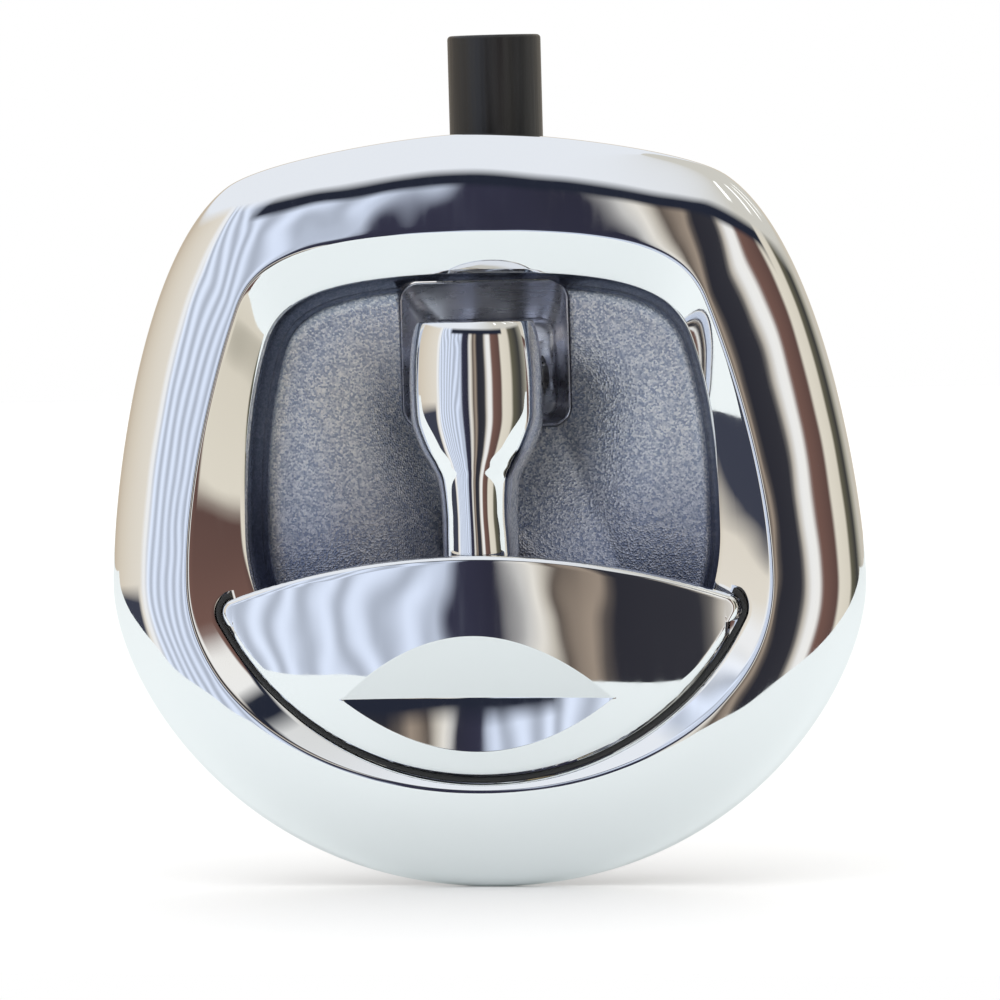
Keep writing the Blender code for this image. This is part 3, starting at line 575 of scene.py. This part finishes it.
def build_bezel(chrome):
    """One closed tube of rings: rim, dome, ledge, recess wall and shelf, then round the back."""
    angles, right, left = ray_angles()
    outer = polar_radius(bezier_outline(BEZEL_OUTLINE), angles)
    window = polar_radius(bezier_outline(WINDOW_OUTLINE), angles)
    mouth = polar_radius(bezier_outline(PAN_OUTLINE), angles)
    recess = polar_radius(below_tips(grip_outline(GRIP_GAP)), angles)
    inside = (angles < right) & (angles > left)
    width = window - mouth
    shelf_part = (SHELF_Y - CREST_Y) / (LEDGE_Y - CREST_Y)
    wall_part = np.where(inside, (window - recess) / width, shelf_part)
    wall_part = np.clip(wall_part, 0.04, shelf_part)

    def on_ledge(part):
        return window - width * part, CREST_Y + (LEDGE_Y - CREST_Y) * part

    dome = dome_sections(outer, window)
    sections = [(outer, EDGE_Y)] + dome[:-1]
    # The crest is rounded over into the ledge.
    before = dome[-2]
    for t in (0.25, 0.5, 0.75):
        ledge_radius, ledge_y = on_ledge(0.03)
        radius = (1 - t) ** 2 * before[0] + 2 * t * (1 - t) * window + t * t * ledge_radius
        depth = (1 - t) ** 2 * before[1] + 2 * t * (1 - t) * CREST_Y + t * t * ledge_y
        sections.append((radius, depth))
    # The ledge slopes down to the recess wall, or to the shelf where there is no recess.
    for k in np.linspace(0.0, 1.0, 10):
        sections.append(on_ledge(0.035 + (wall_part - 0.06) * k))
    wall_radius, wall_y = on_ledge(wall_part)
    drop = np.where(inside & (wall_y < SHELF_Y - 0.01), 1.0, 0.0)
    sections.append((wall_radius + 0.03 * drop, wall_y + 0.03 * drop))
    sections.append((wall_radius, wall_y + 0.25 * drop))
    sections.append((wall_radius - 0.02 * drop, wall_y + (SHELF_Y - 0.2 - wall_y) * drop))
    sections.append((wall_radius - 0.2 * drop, wall_y + (SHELF_Y - wall_y) * drop))
    # From the shelf to the pan's mouth, then round the back to the outer edge.
    for part in np.linspace(shelf_part, 0.97, 6):
        sections.append(on_ledge(part))
    sections += [(mouth + 0.08, LEDGE_Y + 0.02), (mouth, LEDGE_Y + 0.25), (mouth - 0.2, SEAT_Y)]
    sections += [(mouth + SEAT_WIDTH, SEAT_Y), (window + 2.6, CREST_Y + SHELL_THICK)]
    sections += [(0.5 * (window + outer) - 2.0, CREST_Y + SHELL_THICK + 0.2)]
    sections += [(outer - FOOT_INNER, FOOT_Y - 1.6), (outer - FOOT_INNER, FOOT_Y)]
    sections += [(outer - FOOT_OUTER, FOOT_Y), (outer - FOOT_OUTER, EDGE_Y)]
    bezel = to_object("bezel_shell", loft(rings_at(angles, sections), True), chrome, 30.0)
    show(bezel, "housing", "chrome", "outer_bezel")


# ---------------------------------------------------------------- pan and cup

def build_pan(grained):
    """The recess pan: filleted floor, drafted wall and flange, with holes for pocket and lock."""
    angles = np.linspace(-math.pi, math.pi, 300, endpoint=False)
    mouth = polar_radius(bezier_outline(PAN_OUTLINE), angles) - 0.2
    base = mouth - PAN_DRAFT
    sections = []
    for k in range(13):
        a = math.radians(90 * k / 12)
        inset = PAN_FILLET * (1 - math.sin(a))
        sections.append((base - inset, FLOOR_Y - PAN_FILLET * (1 - math.cos(a))))
    rim_y = SEAT_Y + FIT
    back_y = rim_y + PAN_FLANGE_THICK
    sections += [(mouth, rim_y), (mouth + PAN_FLANGE, rim_y), (mouth + PAN_FLANGE, back_y)]
    sections += [(mouth + 2.2, back_y), (base + 2.0, FLOOR_Y - 1.5)]
    sections += [(base + 1.0, FLOOR_Y + PAN_WALL - 0.6), (base - 1.0, FLOOR_Y + PAN_WALL)]
    pan = to_object("pan_tray", loft(rings_at(angles, sections), False), grained)
    opening = [rounded_box(CUP_HALF + 0.4, CUP_LOW_Z - 0.4, CUP_TOP_Z + 0.4, CUP_CORNER + 0.4, y)
               for y in (-2, 12)]
    boolean(pan, loft(opening, False), "DIFFERENCE")
    lock_hole = ((LOCK_HOLE, 0.0), (LOCK_HOLE, 12.0))
    boolean(pan, turned("y", (0.0, LOCK_Z), lock_hole, 64), "DIFFERENCE")
    show(pan, "housing", "grained_chrome", "recess_pan")


def build_cup(polished):
    """The pocket from its filleted floor up its bulging walls to the lip, then round the back."""
    rim_y = FLOOR_Y - 0.3
    flange_y = FLOOR_Y + PAN_WALL + FIT
    rings = []
    for k in range(9):
        t = math.radians(90 * k / 8)
        inset = 2.4 * (1 - math.sin(t))
        y = CUP_FLOOR_Y - CUP_FOOT * (1 - math.cos(t))
        rings.append(rounded_box(CUP_BASE_HALF - inset, CUP_BASE_LOW_Z + 0.5 * inset,
                                 CUP_BASE_TOP_Z - inset, CUP_BASE_CORNER, y))
    for k in range(1, 9):
        t = k / 8
        bulge = CUP_BULGE * math.sin(math.pi * t)
        half = CUP_BASE_HALF + (CUP_HALF - 0.45 - CUP_BASE_HALF) * t + bulge
        low = CUP_BASE_LOW_Z - (CUP_BASE_LOW_Z - CUP_LOW_Z - 0.5) * t
        high = CUP_BASE_TOP_Z + (CUP_TOP_Z - 0.5 - CUP_BASE_TOP_Z) * t + bulge
        y = CUP_FLOOR_Y - CUP_FOOT + (rim_y + 0.35 - CUP_FLOOR_Y + CUP_FOOT) * t
        rings.append(rounded_box(half, low, high, CUP_BASE_CORNER + 0.6 * t, y))
    rings += [
        rounded_box(CUP_HALF - 0.34, CUP_LOW_Z + 0.34, CUP_TOP_Z - 0.34, CUP_CORNER - 0.3, rim_y + 0.1),
        rounded_box(CUP_HALF - 0.12, CUP_LOW_Z + 0.12, CUP_TOP_Z - 0.12, CUP_CORNER - 0.1, rim_y),
        rounded_box(CUP_HALF, CUP_LOW_Z, CUP_TOP_Z, CUP_CORNER, rim_y + 0.12),
        rounded_box(CUP_HALF, CUP_LOW_Z, CUP_TOP_Z, CUP_CORNER, flange_y),
        rounded_box(CUP_HALF + 4.0, CUP_LOW_Z - 3.0, CUP_TOP_Z - 0.5, CUP_CORNER + 1.0, flange_y),
        rounded_box(CUP_HALF + 4.0, CUP_LOW_Z - 3.0, CUP_TOP_Z - 0.5, CUP_CORNER + 1.0, flange_y + 1.8),
        rounded_box(CUP_HALF + 0.6, CUP_LOW_Z - 0.6, CUP_TOP_Z - 2.6, CUP_CORNER, flange_y + 1.8),
        rounded_box(17.6, 18.6, 47.0, 5.0, CUP_FLOOR_Y + CUP_WALL - 0.4),
        rounded_box(17.2, 19.0, 46.6, 4.6, CUP_FLOOR_Y + CUP_WALL),
    ]
    cup = to_object("pivot_pocket", loft(rings, False), polished)
    for side in (-1, 1):
        inner, outer = sorted((side * LUG_INNER, side * LUG_OUTER))
        lug = [(CUP_FLOOR_Y + 0.6, 23.5), (CUP_FLOOR_Y + 0.6, 38.5)]
        lug += [(PIVOT_Y + LUG_RADIUS * math.cos(a), PIVOT_Z + LUG_RADIUS * math.sin(a))
                for a in np.radians(np.linspace(75, 285, 33))]
        boolean(cup, prism(lug, "x", inner, outer), "UNION")
        hole = ((PIN_HOLE, inner - 1), (PIN_HOLE, outer + 1))
        boolean(cup, turned("x", (PIVOT_Y, PIVOT_Z), hole, 48), "DIFFERENCE")
    boolean(cup, box(-3.2, 3.2, 10.0, 18.0, 21.5, 34.2), "DIFFERENCE")
    show(cup, "housing", "polished_zinc", "pivot_cup")


def build_seal(rubber):
    """A round-topped rubber bead in the gap round the grip."""
    middle = (SEAL_INNER + SEAL_OUTER) / 2
    half = (SEAL_OUTER - SEAL_INNER) / 2
    section = [(SEAL_INNER, SHELF_Y - FIT), (SEAL_INNER, SEAL_SHOULDER_Y)]
    section += [(middle - half * math.cos(a), SEAL_SHOULDER_Y - SEAL_CROWN * math.sin(a))
                for a in np.radians(np.linspace(20, 160, 8))]
    section += [(SEAL_OUTER, SEAL_SHOULDER_Y), (SEAL_OUTER, SHELF_Y - FIT)]
    outlines = [below_tips(grip_outline(gap))[:-1] for gap, _ in section]
    rows = []
    for k in range(len(outlines[0])):
        rows.append([(outline[k][0], y, outline[k][1]) for outline, (_, y) in zip(outlines, section)])
    seal = to_object("grip_seal_bead", loft(rows, False), rubber)
    show(seal, "housing", "rubber", "grip_seat_seal")


# ---------------------------------------------------------------- handle

def smooth_stations(stations, count):
    """Catmull-Rom stations through the given ones."""
    points = np.array(stations)
    result = []
    spans = len(points) - 1
    for k in range(count + 1):
        t = spans * k / count
        i = min(int(t), spans - 1)
        f = t - i
        p0 = points[max(i - 1, 0)]
        p1 = points[i]
        p2 = points[i + 1]
        p3 = points[min(i + 2, spans)]
        value = 0.5 * (2 * p1 + (p2 - p0) * f + (2 * p0 - 5 * p1 + 4 * p2 - p3) * f ** 2
                       + (3 * p1 - p0 - 3 * p2 + p3) * f ** 3)
        result.append(tuple(value))
    return result


def lever_ring(z, half, front, back, steps=60):
    """A half-superellipse section of the lever, flat at the back."""
    points = []
    for k in range(steps + 1):
        a = math.pi * k / steps
        x = math.copysign(abs(math.cos(a)) ** (2 / LEVER_SECTION_POWER), math.cos(a)) * half
        y = back + (front - back) * math.sin(a) ** (2 / LEVER_SECTION_POWER)
        points.append((x, y, z))
    return points


def build_lever(chrome):
    """Barrel head and waisted neck, hollowed for the pivot, with a tongue and two pivot cheeks."""
    stations = smooth_stations(LEVER_STATIONS, 110)
    lever = to_object("lever_body", loft([lever_ring(*s) for s in stations], False), chrome, 30.0)
    boolean(lever, box(*LEVER_HOLLOW), "DIFFERENCE")
    tongue = box(-TONGUE_HALF, TONGUE_HALF, TONGUE_FRONT_Y, TONGUE_BACK_Y, TONGUE_LOW_Z, TONGUE_TOP_Z)
    boolean(lever, tongue, "UNION")
    for side in (-1, 1):
        inner, outer = sorted((side * CHEEK_INNER, side * CHEEK_OUTER))
        cheek = [(-6.0, 24.0), (-6.0, 38.0)]
        cheek += [(PIVOT_Y + CHEEK_RADIUS * math.cos(a), PIVOT_Z + CHEEK_RADIUS * math.sin(a))
                  for a in np.radians(np.linspace(80, -80, 25))]
        boolean(lever, prism(cheek, "x", inner, outer), "UNION")
        hole = ((PIN_HOLE, inner - 0.5), (PIN_HOLE, outer + 1.0))
        boolean(lever, turned("x", (PIVOT_Y, PIVOT_Z), hole, 48), "DIFFERENCE")
    show(lever, "handle", "chrome", "lever")


def grip_limits(x):
    """Lowest and highest z of the grip at x, with rounded tips."""
    tip_x, tip_z = tip_centre()
    top, top_radius = circle_through_tips(GRIP_TOP_Z)
    low, low_radius = circle_through_tips(GRIP_BOTTOM_Z)
    if abs(x) > tip_x:
        half = math.sqrt(max(GRIP_TIP_RADIUS ** 2 - (abs(x) - tip_x) ** 2, 0.0))
        upper = min(top + math.sqrt(top_radius ** 2 - x * x), tip_z + half)
        return max(low - math.sqrt(low_radius ** 2 - x * x), tip_z - half), upper
    return low - math.sqrt(low_radius ** 2 - x * x), top + math.sqrt(top_radius ** 2 - x * x)


def grip_front(x, z):
    """Depth of the grip's front, with the finger scoop."""
    depth = GRIP_FRONT_Y + GRIP_BOW_X * x * x + GRIP_BOW_Z * (z - GRIP_BOW_CENTRE_Z) ** 2
    shape = 1 - (x / SCOOP_HALF) ** 2
    if shape > 0:
        above = (SCOOP_TOP_Z - SCOOP_VALLEY_Z) * shape
        below = (SCOOP_VALLEY_Z - SCOOP_LOW_Z) * shape
        height = z - SCOOP_VALLEY_Z
        part = 1 - (height / above if height > 0 else -height / below)
        depth += SCOOP_DEPTH * shape * max(part, 0.0)
    return depth


def grip_edge_drop(x, z, outline):
    """How far the rounded edge falls back at a point near the outline."""
    distance = float(np.min(np.hypot(outline[:, 0] - x, outline[:, 1] - z)))
    if distance >= GRIP_EDGE:
        return 0.0
    return GRIP_EDGE - math.sqrt(max(GRIP_EDGE ** 2 - (GRIP_EDGE - distance) ** 2, 0.0))


def eased(count):
    """Fractions from 0 to 1, closer together at both ends."""
    return [0.5 - 0.5 * math.cos(math.pi * k / count) for k in range(count + 1)]


def grip_heights(x):
    """Heights at which the grip is sampled, so that rows follow the scoop's creases."""
    low, high = grip_limits(x)
    shape = max(1 - (x / SCOOP_HALF) ** 2, 0.02)
    settle = min(max((abs(x) - SCOOP_HALF) / 12.0, 0.0), 1.0)
    settle = settle * settle * (3 - 2 * settle)
    valley = SCOOP_VALLEY_Z + ((low + high) / 2 - SCOOP_VALLEY_Z) * settle
    squeeze = min(1.0, (high - low) / 30.0)
    under = valley - (SCOOP_VALLEY_Z - SCOOP_LOW_Z) * shape * squeeze
    over = valley + (SCOOP_TOP_Z - SCOOP_VALLEY_Z) * shape * squeeze
    heights = []
    stretches = ((low, under, 20), (under, valley, 14), (valley, over, 16), (over, high, 22))
    for start, end, count in stretches:
        heights += [start + (end - start) * f for f in eased(count)[:-1]]
    return heights + [high]


def build_grip(chrome):
    """The crescent blade, column by column from tip to tip, and the boss that it is screwed by."""
    tip_x, _ = tip_centre()
    middle = list(np.linspace(-tip_x, tip_x, 191))
    turns = [tip_x + GRIP_TIP_RADIUS * math.sin(math.radians(a)) for a in np.linspace(5, 88.5, 16)]
    outline = grip_outline(0.0, 900, 90)
    columns = []
    for x in [-x for x in reversed(turns)] + middle + turns:
        heights = grip_heights(x)
        front = [(x, grip_front(x, z) + grip_edge_drop(x, z, outline), z) for z in heights]
        back = [(x, grip_front(x, z) + GRIP_THICK, z) for z in reversed(heights[::3])]
        columns.append(front + back)
    grip = to_object("grip_blade", loft(columns, False), chrome, 50.0)
    block = box(-BOSS_HALF, BOSS_HALF, BOSS_FRONT_Y, TONGUE_FRONT_Y - FIT, BOSS_LOW_Z, BOSS_TOP_Z)
    boss = to_object("grip_boss", block, chrome)
    boss.parent = grip
    show(grip, "handle", "chrome", "crescent_grip")


# ---------------------------------------------------------------- bolt

def build_bolt(plastic):
    """The round bolt, with a rounded nose and a screw hole in its foot."""
    profile = [(BOLT_RADIUS - 0.5, BOLT_LOW_Z), (BOLT_RADIUS, BOLT_LOW_Z + 0.5)]
    profile += [(BOLT_RADIUS, BOLT_TOP_Z - BOLT_EDGE)]
    for a in np.radians(np.linspace(15, 90, 6)):
        profile.append((BOLT_RADIUS - BOLT_EDGE + BOLT_EDGE * math.cos(a),
                        BOLT_TOP_Z - BOLT_EDGE + BOLT_EDGE * math.sin(a)))
    bolt = to_object("bolt_sleeve", turned("z", (0.0, BOLT_Y), profile), plastic)
    hole = ((BOLT_SCREW_HOLE, 68.0), (BOLT_SCREW_HOLE, 84.0))
    boolean(bolt, turned("z", (0.0, BOLT_SCREW_Y), hole, 32), "DIFFERENCE")
    show(bolt, "bolt", "black_plastic", "latch_bolt")


# ---------------------------------------------------------------- return springs

def build_return_springs():
    """The two coils under the bolt carrier, copied from the CAD springs; the copies do not shorten as
    the bolt draws back.
    """
    for side in ("left", "right"):
        node = f"return_spring_{side}"
        coil = bpy.data.objects.new(f"return_coil_{side}", frame["nodes"][node].data.copy())
        bpy.context.scene.collection.objects.link(coil)
        show(coil, "housing", "spring_steel", node)
        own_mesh(coil)


# ---------------------------------------------------------------- setting

def build_floor():
    """A pale table top that ends a little in front of the latch."""
    low = CAD_BOX[0][2]
    corners = [(-TABLE_HALF, -TABLE_FRONT, low), (TABLE_HALF, -TABLE_FRONT, low),
               (TABLE_HALF, TABLE_HALF, low), (-TABLE_HALF, TABLE_HALF, low)]
    mesh = bpy.data.meshes.new("floor")
    mesh.from_pydata(corners, [], [(0, 1, 2, 3)])
    floor = bpy.data.objects.new("floor", mesh)
    bpy.context.scene.collection.objects.link(floor)
    material, tree, shader, place = new_material("pale_table", (0.95, 0.95, 0.95), 0.0, 0.6)
    fibres = noise(tree, place, 30.0, 3.0)
    paper = mix(tree, fibres, (0.94, 0.945, 0.95), (0.96, 0.96, 0.96))
    # Painted reflection: rays from the chrome see the table darker and cooler than the camera does.
    mirrored = tree.nodes.new("ShaderNodeLightPath").outputs["Is Glossy Ray"]
    tree.links.new(mix(tree, mirrored, paper, TABLE_IN_CHROME), shader.inputs["Base Color"])
    mesh.materials.append(material)


# The room that the chrome reflects, left to right: azimuth in degrees from straight ahead, colour.
WALL_BANDS = [
    (-180, (0.74, 0.66, 0.54)), (-120, (0.64, 0.54, 0.42)), (-75, (0.80, 0.72, 0.60)),
    (-50, (0.88, 0.82, 0.72)), (-48, (1.0, 1.0, 1.0)), (-46, (1.0, 1.0, 1.0)),
    (-44, (0.72, 0.79, 0.93)), (-17, (0.66, 0.73, 0.88)), (-15.5, (0.04, 0.04, 0.07)),
    (-10.5, (0.03, 0.03, 0.05)), (-9.5, (0.98, 0.96, 0.92)), (-7.5, (0.86, 0.80, 0.70)),
    (-6, (0.10, 0.08, 0.07)), (-3, (0.42, 0.34, 0.27)), (-1, (0.03, 0.03, 0.04)),
    (8, (0.04, 0.04, 0.05)), (10, (0.62, 0.57, 0.50)), (13, (1.0, 0.99, 0.97)),
    (17, (1.0, 0.98, 0.94)), (20, (0.20, 0.11, 0.09)), (33, (0.13, 0.075, 0.065)),
    (36, (0.86, 0.80, 0.68)), (52, (0.80, 0.74, 0.62)), (57, (0.14, 0.13, 0.09)),
    (75, (0.05, 0.05, 0.05)), (90, (0.40, 0.38, 0.31)), (110, (0.66, 0.62, 0.54)),
    (180, (0.74, 0.66, 0.54)),
]
CURTAIN_LEFT = math.radians(-44)
CURTAIN_RIGHT = math.radians(-19)
CURTAIN_STRIPES = 84.0
CURTAIN_WAVER = 20.0
DARK_LEFT = math.radians(-150)
DARK_RIGHT = math.radians(-53)
DARK_LOW_WALL = (0.05, 0.055, 0.08)
BEAM_LEFT = -0.5
BEAM_RIGHT = 0.7
BEAM_COLOUR = (0.02, 0.024, 0.04)
CEILING_LEFT = (0.86, 0.89, 0.94)
CEILING_RIGHT = (0.66, 0.64, 0.58)
LAMP_COUNT = 14.0
LAMP_COLOUR = (1.6, 1.6, 1.55)
WHITE = (1.0, 1.0, 1.0)


def between(tree, value, low, high):
    """1 inside (low, high), falling to 0 over a twentieth of a radian outside."""
    rise = remap(tree, value, low - 0.05, low, 0.0, 1.0)
    fall = remap(tree, value, high, high + 0.05, 1.0, 0.0)
    return maths(tree, "MULTIPLY", rise, fall)


def room_wall(tree, direction, azimuth, elevation):
    """Upright bands, with a rippling curtain, a dark low wall at the left and a dark beam."""
    ramp = tree.nodes.new("ShaderNodeValToRGB")
    turn = maths(tree, "MULTIPLY_ADD", azimuth, 1 / (2 * math.pi), 0.5)
    tree.links.new(turn, ramp.inputs["Fac"])
    ramp.color_ramp.elements.remove(ramp.color_ramp.elements[1])
    for k, (angle, colour) in enumerate(WALL_BANDS):
        place = angle / 360 + 0.5
        element = ramp.color_ramp.elements[0] if k == 0 else ramp.color_ramp.elements.new(place)
        element.position = place
        element.color = (*colour, 1.0)

    folds = maths(tree, "MULTIPLY", noise(tree, direction, 2.6, 1.0), CURTAIN_WAVER)
    stripes = maths(tree, "MULTIPLY", azimuth, CURTAIN_STRIPES)
    wave = maths(tree, "SINE", maths(tree, "ADD", stripes, folds))
    curtain = maths(tree, "MULTIPLY", wave, between(tree, azimuth, CURTAIN_LEFT, CURTAIN_RIGHT))
    shade = maths(tree, "MULTIPLY_ADD", curtain, 0.24, 0.92)
    wall = mix(tree, 1.0, ramp.outputs["Color"], shade, "MULTIPLY")

    low = remap(tree, elevation, -0.06, -0.12, 0.0, 1.0)
    dark = maths(tree, "MULTIPLY", between(tree, azimuth, DARK_LEFT, DARK_RIGHT), low)
    wall = mix(tree, dark, wall, DARK_LOW_WALL)
    high = remap(tree, elevation, 0.36, 0.41, 0.0, 1.0)
    beam = maths(tree, "MULTIPLY", between(tree, azimuth, BEAM_LEFT, BEAM_RIGHT), high)
    return mix(tree, beam, wall, BEAM_COLOUR)


def room_ceiling(tree, azimuth, elevation):
    """A pale ceiling, warmer at the right, with a row of lamps there."""
    ceiling = mix(tree, remap(tree, azimuth, -0.2, 0.5, 0.0, 1.0), CEILING_LEFT, CEILING_RIGHT)
    wave = maths(tree, "SINE", maths(tree, "MULTIPLY", azimuth, LAMP_COUNT))
    lamps = maths(tree, "GREATER_THAN", wave, 0.86)
    lit = maths(tree, "MULTIPLY", lamps, between(tree, elevation, 0.72, 0.98))
    lit = maths(tree, "MULTIPLY", lit, between(tree, azimuth, 0.3, 2.0))
    return mix(tree, lit, ceiling, LAMP_COLOUR)


def build_world():
    """A soft studio: plain white to the camera and on the table, a banded room in the chrome."""
    world = bpy.data.worlds.new("studio")
    bpy.context.scene.world = world
    world.use_nodes = True
    tree = world.node_tree
    tree.nodes.clear()
    direction = tree.nodes.new("ShaderNodeTexCoord").outputs["Generated"]
    parts = tree.nodes.new("ShaderNodeSeparateXYZ")
    tree.links.new(direction, parts.inputs["Vector"])
    ahead = maths(tree, "MULTIPLY", parts.outputs["Y"], -1.0)
    azimuth = maths(tree, "ARCTAN2", parts.outputs["X"], ahead)
    elevation = maths(tree, "ARCSINE", parts.outputs["Z"])
    wall = room_wall(tree, direction, azimuth, elevation)
    ceiling = room_ceiling(tree, azimuth, elevation)
    room = mix(tree, remap(tree, elevation, 0.47, 0.56, 0.0, 1.0), wall, ceiling)
    rays = tree.nodes.new("ShaderNodeLightPath")
    light = (TABLE_LIGHT, TABLE_LIGHT, TABLE_LIGHT)
    lighting = mix(tree, rays.outputs["Is Diffuse Ray"], room, light)
    shown = mix(tree, rays.outputs["Is Camera Ray"], lighting, WHITE)
    background = tree.nodes.new("ShaderNodeBackground")
    tree.links.new(shown, background.inputs["Color"])
    output = tree.nodes.new("ShaderNodeOutputWorld")
    tree.links.new(background.outputs["Background"], output.inputs["Surface"])


def build_camera():
    data = bpy.data.cameras.new("camera")
    camera = bpy.data.objects.new("camera", data)
    bpy.context.scene.collection.objects.link(camera)
    azimuth = math.radians(CAMERA_AZIMUTH)
    elevation = math.radians(CAMERA_ELEVATION)
    away = Vector((math.sin(azimuth) * math.cos(elevation),
                   -math.cos(azimuth) * math.cos(elevation),
                   math.sin(elevation)))
    camera.location = Vector(CAMERA_TARGET) + away * CAMERA_DISTANCE
    turn = (-away).to_track_quat("-Z", "Y")
    roll = Quaternion((0.0, 0.0, 1.0), -math.radians(CAMERA_ROLL))
    camera.rotation_euler = (turn @ roll).to_euler()
    data.sensor_width = 36.0
    data.lens = 36.0 * CAMERA_DISTANCE / CAMERA_FIELD
    data.clip_start = 0.01
    bpy.context.scene.camera = camera


def finish_cad_nodes(materials):
    """Give every CAD node that stays its procedural material, by the record's slot."""
    slots = {part["node"]: part["material_slot"] for part in frame["record"]["subparts"]}
    for name, item in frame["nodes"].items():
        for place in item.material_slots:
            place.material = materials[slots[name]]


def make_materials():
    """One procedural material for each material slot of the record."""
    steel = ((0.50, 0.53, 0.56), (0.72, 0.72, 0.68))
    stainless = ((0.50, 0.49, 0.47), (0.66, 0.65, 0.62))
    spring = ((0.24, 0.24, 0.26), (0.42, 0.41, 0.40))
    brass = ((0.62, 0.45, 0.20), (0.80, 0.63, 0.32))
    return {
        "chrome": make_chrome(),
        "grained_chrome": make_grained(),
        "polished_zinc": make_polished_zinc(),
        "black_plastic": make_black_plastic(),
        "rubber": make_rubber(),
        "plated_steel": make_metal("zinc_plated_steel", *steel, 0.24, 0.42, (1.0, 1.0, 0.1)),
        "stainless": make_metal("stainless_steel", *stainless, 0.16, 0.32, (1.0, 0.15, 1.0)),
        "spring_steel": make_metal("spring_steel", *spring, 0.22, 0.38, (1.0, 1.0, 1.0)),
        "brass": make_metal("brass", *brass, 0.18, 0.34, (1.0, 1.0, 0.2)),
    }


def main():
    build_camera()
    materials = make_materials()
    finish_cad_nodes(materials)
    build_bezel(materials["chrome"])
    build_pan(materials["grained_chrome"])
    build_cup(materials["polished_zinc"])
    build_seal(materials["rubber"])
    build_lever(materials["chrome"])
    build_grip(materials["chrome"])
    build_bolt(materials["black_plastic"])
    build_return_springs()
    build_floor()
    build_world()
    bpy.context.scene.view_settings.view_transform = "Standard"


main()
